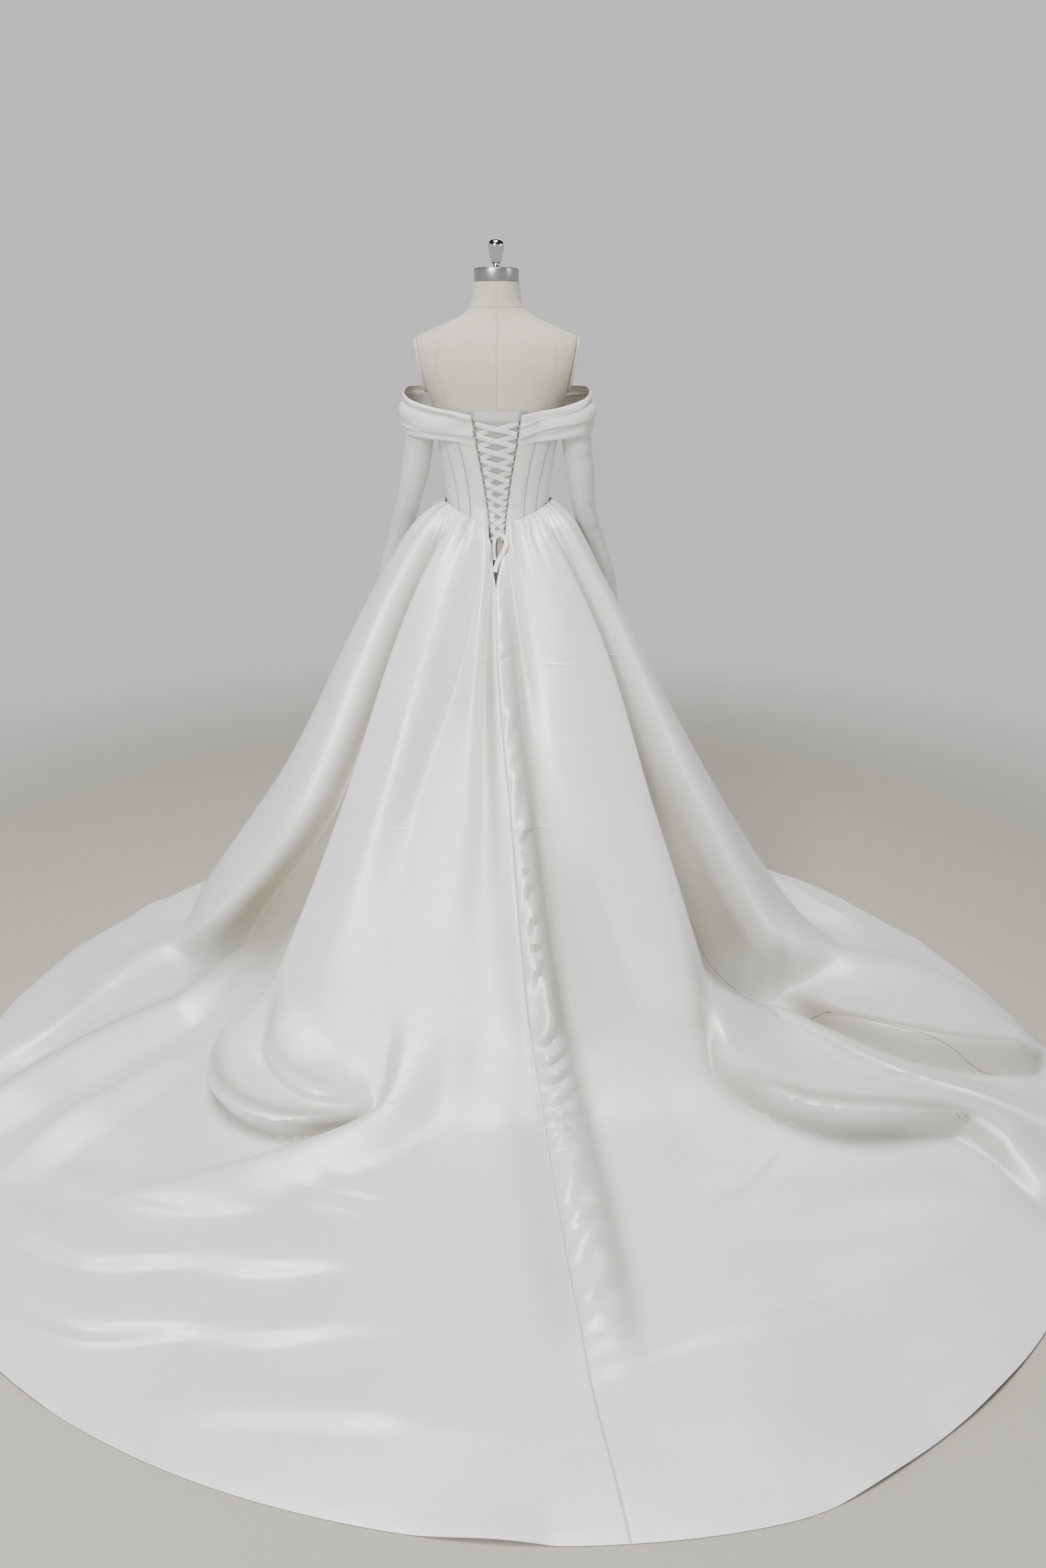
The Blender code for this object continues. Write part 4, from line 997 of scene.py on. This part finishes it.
# angle round the figure, distance of the hem
HEM = (
    (-180, .635), (-140, .75), (-110, .89), (-90, 1.04), (-68, 1.24), (-45, 1.48), (-26, 1.654),
    (-10, 1.722), (3, 1.76), (13, 1.774), (24, 1.718), (33, 1.648), (45, 1.55), (60, 1.39), (70, 1.265),
    (90, 1.04), (110, .89), (140, .75), (180, .635),
)
WAIST_LIFT = 0.0053
SKIRT_WALL = 0.0025


def hem_radius(angle):
    return float(columns_of(HEM, (angle + 180) % 360 - 180)[0])


def front_fold(angle, crest):
    away = angle if angle <= 180 else 360 - angle
    share = (1 - math.cos(2 * math.radians(away - 90))) / 2
    radius = {level: mix(side, front, share) + crest * part
              for level, (side, front, part) in FRONT_SHAPE.items()}
    floor, hem = radius["floor"], hem_radius(angle)
    return ("front", angle, (angle, radius["hip"]), (angle, radius["knee"]), (angle, radius["calf"]),
            (angle, floor, 0), (angle, mix(floor, hem, 0.33), 0), (angle, mix(floor, hem, 0.67), 0), angle)


def line_levels(fold):
    """Angle, radius and height of a fold line at every level."""
    _, waist, hip, knee, calf, floor, train, sweep, hem = fold
    seam_height = float(columns_of(EDGES, front_angle(waist))[0])
    seam = along_body([waist], [seam_height], WAIST_LIFT)[0]
    seam_radius = math.hypot(seam[0], seam[1])
    seam_angle = waist + (math.degrees(math.atan2(seam[0], -seam[1])) - waist + 180) % 360 - 180
    puff = (mix(waist, hip[0], 0.5), mix(seam_radius, hip[1], 0.42), seam_height - 0.045)
    return ((seam_angle, seam_radius, seam_height), puff, (*hip, HIP), (*knee, KNEE), (*calf, CALF),
            floor, train, sweep, (hem, hem_radius(hem), 0.0))


def counted_on(fold):
    """A fold line of the left side, its angles counted on past the front."""
    name, waist, *places, hem = fold
    return (name, waist + 360, *[(place[0] + 360, *place[1:]) for place in places], hem + 360)


all_lines = list(FOLDS[:9])
all_lines += [front_fold(angle, crest) for angle, crest in FRONT_FOLDS]
all_lines += [front_fold(180, 0.016)]
all_lines += [front_fold(360 - angle, crest) for angle, crest in reversed(FRONT_FOLDS)]
all_lines += [counted_on(fold) for fold in FOLDS[9:]]
LINES = np.array([line_levels(fold) for fold in all_lines])
COUNT = len(LINES)
print("fold lines round the skirt:", COUNT)

# %% [markdown]
# On top of the big folds lie smaller ones. On the floor a fold is a ridge along a path: gentle
# on one side, steep on the other. Gathers are ribs that fade below the waist.

# %% Folds on the floor
# points (x, y), height along the path, reach on the gentle side, reach on the steep side, lean
FLOOR_FOLDS = (
    (((.452, -.4), (.472, -.62), (.5, -.8), (.56, -.9), (.66, -.932), (.78, -.925), (.88, -.93),
      (.955, -.985), (1.01, -1.1)),
     (0, .035, .07, .092, .092, .078, .064, .052, .038), .16, .058, .75),
    (((.552, -.334), (.656, -.544), (.713, -.63), (.795, -.727), (.924, -.804), (1.088, -.894)),
     (0, .02, .03, .03, .026, .016), .09, .035, .7),
    (((.66, -.33), (.715, -.441), (.783, -.571), (.906, -.645), (1.007, -.672), (1.125, -.68)),
     (0, .04, .075, .086, .082, .07), .19, .04, .85),
    (((-.535, -.56), (-.545, -.71), (-.525, -.815), (-.468, -.89), (-.38, -.926), (-.305, -.92),
      (-.235, -.885)),
     (0, .03, .052, .062, .056, .036, 0), .12, .036, .9),
    (((-.405, -.52), (-.43, -.66), (-.432, -.75), (-.392, -.815), (-.325, -.86), (-.245, -.88)),
     (0, .022, .036, .04, .03, 0), .07, .034, .6),
    (((-.195, -.72), (-.165, -.81), (-.175, -.9), (-.235, -.972), (-.33, -1.02), (-.45, -1.062),
      (-.59, -1.11), (-.74, -1.15)),
     (0, .02, .036, .042, .038, .03, .022, 0), .08, .046, .5),
    (((-.88, -1.16), (-.76, -1.216), (-.64, -1.252), (-.5, -1.246), (-.38, -1.268), (-.26, -1.262),
      (-.15, -1.28)),
     (.006, .02, .022, .015, .013, .006, 0), .11, .042, .3),
    (((-.85, -1.3), (-.73, -1.366), (-.6, -1.404), (-.47, -1.392), (-.34, -1.412), (-.22, -1.396),
      (-.11, -1.404)),
     (.006, .021, .024, .016, .014, .006, 0), .12, .042, .3),
    (((-.76, -1.06), (-.62, -1.12), (-.48, -1.135), (-.38, -1.12)),
     (.012, .016, .012, 0), .07, .035, .4),
    (((-.5, -1.545), (-.312, -1.561), (-.177, -1.566), (-.08, -1.569)),
     (0, .008, .008, 0), .08, .04, 0),
    (((-.351, -1.066), (-.26, -1.102), (-.154, -1.125)),
     (0, .008, 0), .03, .018, 0),
    (((-.396, -1.096), (-.303, -1.136), (-.156, -1.178)),
     (0, .007, 0), .03, .018, 0),
    (((.33, -1.14), (.445, -1.087), (.56, -.985)),
     (0, .009, 0), .06, .022, .3),
    (((.25, -1.42), (.479, -1.386), (.652, -1.337), (.946, -1.231)),
     (0, .014, .014, 0), .09, .055, 0),
    (((.178, -1.5), (.286, -1.45), (.486, -1.4)),
     (0, .007, 0), .05, .024, 0),
    (((.42, -1.2), (.6, -1.15), (.8, -1.13), (.98, -1.17)),
     (0, .012, .014, 0), .09, .07, 0),
    (((-.56, -.42), (-.65, -.5), (-.745, -.6), (-.84, -.715), (-.92, -.83), (-1, -.96)),
     (0, .036, .052, .052, .046, .03), .055, .07, .5),
    (((-.6, -.64), (-.7, -.79), (-.8, -.92), (-.88, -1.04)),
     (0, .024, .026, .01), .05, .06, .5),
)


def smooth_path(points, heights, pieces=5):
    points = np.asarray(points, float)
    knots = np.arange(len(points))
    at = np.linspace(0, len(points) - 1, (len(points) - 1) * pieces + 1)
    path = np.stack([curve(knots, points[:, 0], at), curve(knots, points[:, 1], at)], 1)
    return path, curve(knots, heights, at)


def ridge(x, y, fold):
    """Height of a floor fold at many points, its lean over the steep side, and the painted shade at its foot.
    """
    points, heights, gentle, steep, lean = fold
    path, high = smooth_path(points, heights)
    reach = max(gentle, steep)
    low, top = path.min(0) - reach, path.max(0) + reach
    near = (x > low[0]) & (x < top[0]) & (y > low[1]) & (y < top[1])
    result = np.zeros((4, *x.shape))
    px, py = x[near], y[near]
    best = np.full(px.shape, 9.0)
    side, height, over_x, over_y = np.zeros((4, *px.shape))
    for (ax, ay), (bx, by), h0, h1 in zip(path[:-1], path[1:], high[:-1], high[1:]):
        ex, ey = bx - ax, by - ay
        size = math.hypot(ex, ey)
        t = np.clip(((px - ax) * ex + (py - ay) * ey) / (size * size), 0, 1)
        distance = np.hypot(px - ax - t * ex, py - ay - t * ey)
        closer = distance < best
        best = np.where(closer, distance, best)
        side = np.where(closer, (ex * (py - ay) - ey * (px - ax)) / size, side)
        height = np.where(closer, h0 + (h1 - h0) * t, height)
        over_x = np.where(closer, ey / size, over_x)
        over_y = np.where(closer, -ex / size, over_y)
    on_steep = 1 / (1 + np.exp(np.clip(side / 0.006, -30, 30)))
    width = mix(gentle, steep, on_steep)
    profile = np.cos(np.pi / 2 * np.minimum(1, best / width)) ** 2
    shift = lean * steep * profile * height / max(high.max(), 1e-9)
    # painted shade along the foot of the steep side
    foot = bell(best - 0.85 * steep, 0.45 * steep) * on_steep * clamp(height / 0.04 - 0.3)
    result[:, near] = height * profile, over_x * shift, over_y * shift, foot
    return result


# %% The skirt's surface
# distance down the cloth, where the strip's crest lies beside the seam, half width, height, puckers
SEAM_STRIP = (
    (.17, .014, .013, 0, 0), (.24, .015, .014, .005, .0018), (.5, .019, .017, .0095, .004),
    (.8, .025, .022, .0145, .0064), (1.05, .031, .028, .022, .0088), (1.25, .037, .034, .031, .0115),
    (1.45, .041, .038, .034, .012), (1.6, .041, .039, .028, .01), (1.72, .037, .038, .014, .0045),
    (1.82, .034, .038, 0, 0), (1.95, .034, .038, 0, 0),
)
# gathers: share of full depth and how far down they reach, taken in turn
GATHERS = ((1.0, 0.15), (0.7, 0.10), (1.15, 0.19), (0.8, 0.12), (1.1, 0.16), (0.6, 0.08), (1.0, 0.20))


def lines_at(cloth):
    """Angle, radius and height of all fold lines at distances down the cloth."""
    table = np.empty((len(cloth), COUNT + 1, 3))
    for line in range(COUNT):
        for column in range(3):
            table[:, line, column] = curve(CLOTH_AT_LEVEL, LINES[line, :, column], cloth)
    table[:, COUNT] = table[:, 0] + np.array((360.0, 0, 0))
    steps = np.diff(table, axis=1)
    slopes = np.empty_like(table)
    slopes[:, :COUNT] = slopes_at(np.roll(steps, 1, axis=1), steps)
    slopes[:, COUNT] = slopes[:, 0]
    return table, slopes


def big_folds(place, cloth):
    """Fold line i behind each place, share t of the way to the next, then angle, radius and height."""
    table, slopes = lines_at(cloth)
    local = place - np.floor(place / COUNT) * COUNT
    i = np.clip(np.floor(local).astype(int), 0, COUNT - 1)
    t = local - i
    row = np.arange(len(cloth))[:, None]
    values = [cubic(table[row, i, k], table[row, i + 1, k], slopes[row, i, k], slopes[row, i + 1, k], 1.0, t)
              for k in range(3)]
    return i, t, *values


def puff(i, t):
    """Small puffs between the gathers: 0 in a pinch and 1 on top."""
    return np.abs(np.sin(np.pi * (1.9 * t + 0.37 * i)))


def gathers(i, t, angle, down):
    """How far the cloth bulges out below the waist seam."""
    depth, reach = np.array([GATHERS[k % len(GATHERS)] for k in range(COUNT)]).T
    span = np.diff(np.append(LINES[:, 0, 0], LINES[0, 0, 0] + 360))
    depth = depth * np.minimum(1, (span / 12.0) ** 2)
    fade = np.maximum(0, 1 - down / reach[i]) ** 1.4
    arch = mix(0.5 - 0.5 * np.cos(2 * np.pi * t), 1 - np.abs(2 * t - 1) ** 2.2, clamp(1.2 - down / 0.10))
    rib = 0.0150 * depth[i] * fade * arch * np.minimum(1, 0.30 + down / 0.025)
    small = 0.0085 * puff(i, t) * np.exp(-down / 0.052) * np.minimum(1, 0.35 + down / 0.015)
    fine = 0.0010 * wave(angle / 3.7 + 0.35 * np.sin(angle / 11.0)) * np.exp(-down / 0.022)
    return rib + small + fine * (down < 0.2)


def strip_row(down):
    """The table's row for the strip beside the seam, at distances down the cloth."""
    keys, *columns = zip(*SEAM_STRIP)
    return [curve(keys, column, down) * (down > keys[0]) for column in columns]


def seam_strip(from_seam, down):
    """Height of the raised, puckered strip beside the centre-back seam."""
    crest, half, lift, pucker = strip_row(down)
    half = np.maximum(half, 0.010)
    beside = (from_seam - crest) / half
    strip = lift * np.exp(-np.abs(beside) ** 2.6) + 0.35 * lift * bell(from_seam + 0.020, half * 1.5)
    # the puckers come at an uneven beat
    beat = down / 0.056 + 0.55 * np.sin(down / 0.071 + 0.8) + 0.30 * np.sin(down / 0.031)
    folds = wave(beat + 0.35 * beside) + 0.35 * np.sin(2 * np.pi * (0.43 * beat - 0.25 * beside) + 1.3)
    strip = strip + pucker * folds * bell(from_seam - crest, half * 0.75)
    left = 0.0022 * bell(down - 0.50, 0.09) * wave(down / 0.026)
    return strip + left * bell(from_seam + 0.012, 0.008)


def floor_folds(x, y, height, cloth):
    """Height of the folds on the floor, and how far they lean in x and y."""
    total = np.zeros((3, *x.shape))
    low = cloth > 0.95
    if low.any():
        calm = clamp(1.5 - height[low] / 0.14)
        at_hem = clamp((HEM_CLOTH - cloth[low, None]) / 0.10)
        fade = np.stack((0.40 + 0.60 * at_hem, at_hem, at_hem)) * calm
        for fold in FLOOR_FOLDS:
            total[:, low] += ridge(x[low], y[low], fold)[:3] * fade
    return total


def crumple(x, y, angle, down):
    """Unevenness of the train where it lies on the floor, and ripples at its hem."""
    off_hem = HEM_CLOTH - down
    sway = 0.0035 * (1 + np.sin(x * 9.0 + 1.5 * np.sin(y * 5.0)) * np.sin(y * 7.0 + 0.8))
    roam = np.sin(x * 7.1 + 2.0 * np.sin(y * 3.3 + 0.4)) * np.sin(y * 6.3 + 1.6 * np.sin(x * 2.9))
    roam = roam + 0.5 * np.sin(x * 15.0 + 2.1 * np.sin(y * 7.0)) * np.sin(y * 12.0 + 1.1)
    ripple = np.maximum(0, np.sin(angle / 3.1 + 1.7 * np.sin(angle / 7.3)) + 0.4 * np.sin(angle / 1.3))
    return (sway * clamp((down - 1.3) / 0.2) * clamp(off_hem / 0.06)
            + 0.0075 * (1.3 + roam) * clamp((down - 1.35) / 0.25) * clamp(off_hem / 0.10)
            + 0.0065 * ripple * clamp((down - 1.86) / 0.09) ** 2)


def skirt(place, cloth):
    """Inner face of the skirt. place counts fold lines round it, one row for each distance."""
    i, t, angle, radius, height = big_folds(place, cloth)
    down = cloth[:, None]
    from_seam = radius * np.radians((angle - seam_angle(cloth) + 180) % 360 - 180)
    height = np.maximum(0, height)
    strip = seam_strip(from_seam, down)
    x, y = polar(angle, radius + gathers(i, t, angle, down))
    bump, over_x, over_y = floor_folds(x, y, height, cloth)
    slope = clamp(height / 0.12)
    lean = (bump + strip) * slope
    rise = (bump + strip) * (1 - 0.45 * slope) + crumple(x, y, angle, down)
    away_x, away_y = polar(angle, 1)
    return np.stack((x + away_x * lean + over_x, y + away_y * lean + over_y, height + rise), -1)


def seam_angle(cloth):
    """Angle of the centre-back seam, one row for each distance."""
    return curve(CLOTH_AT_LEVEL, LINES[0, :, 0], cloth)[:, None]


# %% Painted shade on the skirt
def strip_shade(points, cloth):
    """Painted shade: a dark band right of the raised strip and a softer one left of the seam."""
    down = cloth[:, None]
    angle = np.degrees(np.arctan2(points[..., 0], -points[..., 1]))
    beside = np.hypot(points[..., 0], points[..., 1]) * np.radians(angle - seam_angle(cloth))
    crest, half, lift, _ = strip_row(down)
    right = 0.50 * bell(beside - crest - 1.25 * half, 0.55 * half + 0.004)
    left = 0.34 * bell(beside + 0.85 * half, 0.80 * half + 0.004)
    return clamp(lift / 0.024) * (right + left * clamp((down - 1.0) / 0.2))


def valley_shade(place, points, cloth):
    """Painted shade where the big folds stand higher on both sides."""
    def radius(away):
        return big_folds(place + away, cloth)[3]

    banks = [np.max([radius(side * away) for away in (0.5, 1, 1.5, 2, 2.6, 3.2)], axis=0) for side in (-1, 1)]
    depth = np.minimum(*banks) - radius(0)
    return clamp((depth - 0.004) / 0.055) ** 0.9 * np.clip(points[..., 2] / 0.20, 0.12, 1)


def gore_shade(name, place, points, cloth):
    """Painted shade of the valleys, of the gathers, beside the strip and at the feet of the floor folds."""
    down = cloth[:, None]
    i = np.floor(place)
    t = place - i
    shade = valley_shade(place, points, cloth) * (0.35 if name == "front_gore" else 1)
    # painted shade in the pinches between the gathers, and between the puffs at the waist
    shade = shade + 0.70 * np.abs(2 * t - 1) ** 5 * bell(down, 0.075)
    shade = shade + 0.75 * (1 - puff(i, t)) ** 2 * np.exp(-down / 0.030)
    shade = shade + strip_shade(points, cloth)
    for fold in FLOOR_FOLDS:
        shade = shade + 0.62 * ridge(points[..., 0], points[..., 1], fold)[3]
    return shade


# %% Skirt gores
NAMES = [fold[0] for fold in all_lines]
VALLEY_R, VALLEY_L = NAMES.index("valley_r"), NAMES.index("valley_l")
CENTER_FRONT = NAMES.index("outline_r") + 1 + len(FRONT_FOLDS)
SIDE_SEAM_R, SIDE_SEAM_L = CENTER_FRONT - 3, CENTER_FRONT + 3
# name, its solid, first and last fold line, distance between columns at the hem
GORES = (
    ("back_gore_right", "skirt_back_right", 0, VALLEY_R, 0.0100),
    ("side_gore_right", "skirt_side_right", VALLEY_R, SIDE_SEAM_R, 0.0130),
    ("front_gore", "skirt_front", SIDE_SEAM_R, SIDE_SEAM_L, 0.024),
    ("side_gore_left", "skirt_side_left", SIDE_SEAM_L, VALLEY_L, 0.0130),
    ("back_gore_left", "skirt_back_left", VALLEY_L, COUNT, 0.0100),
)
# the slit under the lacing: how far down it ends, how it narrows, how many fold lines wide each side is
SLIT = {"end": 0.176, "power": 1.55, "right": 1.10, "left": 1.85}
# pressed creases across the cloth
CREASES = (0.352, 0.735)
# columns beside a seam: distances from it, and their most as shares of the usual step
SEAM_COLUMNS = np.array((0.0007, 0.0020, 0.0042))
SEAM_SHARES = np.array((0.12, 0.35, 0.7))


def gore_rows(step):
    """Distances down the cloth, hem to waist, closer together at the waist and the hem."""
    rows = [np.linspace(0, 0.20, 34), np.arange(0.20, 1.05, 0.016)[1:], np.arange(1.05, 1.93, step * 0.74),
            (1.935, 1.943, 1.948, HEM_CLOTH)]
    rows += [crease + np.array((-0.005, -0.0025, -0.001, 0.0, 0.001, 0.0025, 0.005)) for crease in CREASES]
    return np.unique(np.round(np.concatenate(rows), 5))[::-1]


def beside_seam(edge, inner, cloth):
    """Three columns of places close to a seam, between its own column and the next."""
    far = np.linalg.norm(skirt(inner, cloth) - skirt(edge, cloth), axis=-1)
    return edge + (inner - edge) / np.maximum(far, 1e-6) * np.minimum(SEAM_COLUMNS, far * SEAM_SHARES)


def gore_places(start, end, cloth, step):
    """Place of every column on every row."""
    open_share = np.maximum(0, 1 - cloth / SLIT["end"]) ** SLIT["power"]
    first = start + open_share * (SLIT["right"] if start == 0 else 0)
    last = end - open_share * (SLIT["left"] if end == COUNT else 0)
    hem = skirt(np.linspace(start, end, 121)[None, :], cloth[:1])
    columns = int(np.linalg.norm(np.diff(hem, axis=1), axis=-1).sum() / step)
    place = mix(first[:, None], last[:, None], np.linspace(0, 1, columns + 1)[None, :])
    head = beside_seam(place[:, :1], place[:, 1:2], cloth)
    tail = beside_seam(place[:, -1:], place[:, -2:-1], cloth)[:, ::-1]
    return np.concatenate((place[:, :1], head, place[:, 1:-1], tail, place[:, -1:]), axis=1)


def gore(name, node, start, end, step):
    cloth = gore_rows(step)
    down = cloth[:, None]
    place = gore_places(start, end, cloth, step)
    points = skirt(place, cloth)
    across = skirt(place + 0.015, cloth) - skirt(place - 0.015, cloth)
    up = skirt(place, np.maximum(0, cloth - 0.004)) - skirt(place, np.minimum(HEM_CLOTH, cloth + 0.004))
    way, out = unit(across), unit(np.cross(across, up))
    from_seams = [np.linalg.norm(points - points[:, [column]], axis=-1) for column in (0, -1)]
    dip = 0.0011 * bell(np.minimum(*from_seams), 0.0016)
    lift = SKIRT_WALL - dip - 0.0010 * bell(HEM_CLOTH - down, 0.004)
    for crease in CREASES:
        lift = lift + 0.0011 * clamp(np.sin(place * 1.9 + crease * 9)) * bell(down - crease, 0.0016)
    outer = points + way * seam_edges(lift) + out * lift[..., None]
    # painted shade: the folds' shade, and more in the dips beside the seams
    shade = np.clip(0.85 * gore_shade(name, place, points, cloth) + 270 * dip, 0, 0.9)
    piece = cloth_shell(name, outer, out, 0.0014, gown_satin, shade)
    place_cloth(piece, node)


for gore_row in GORES:
    gore(*gore_row)
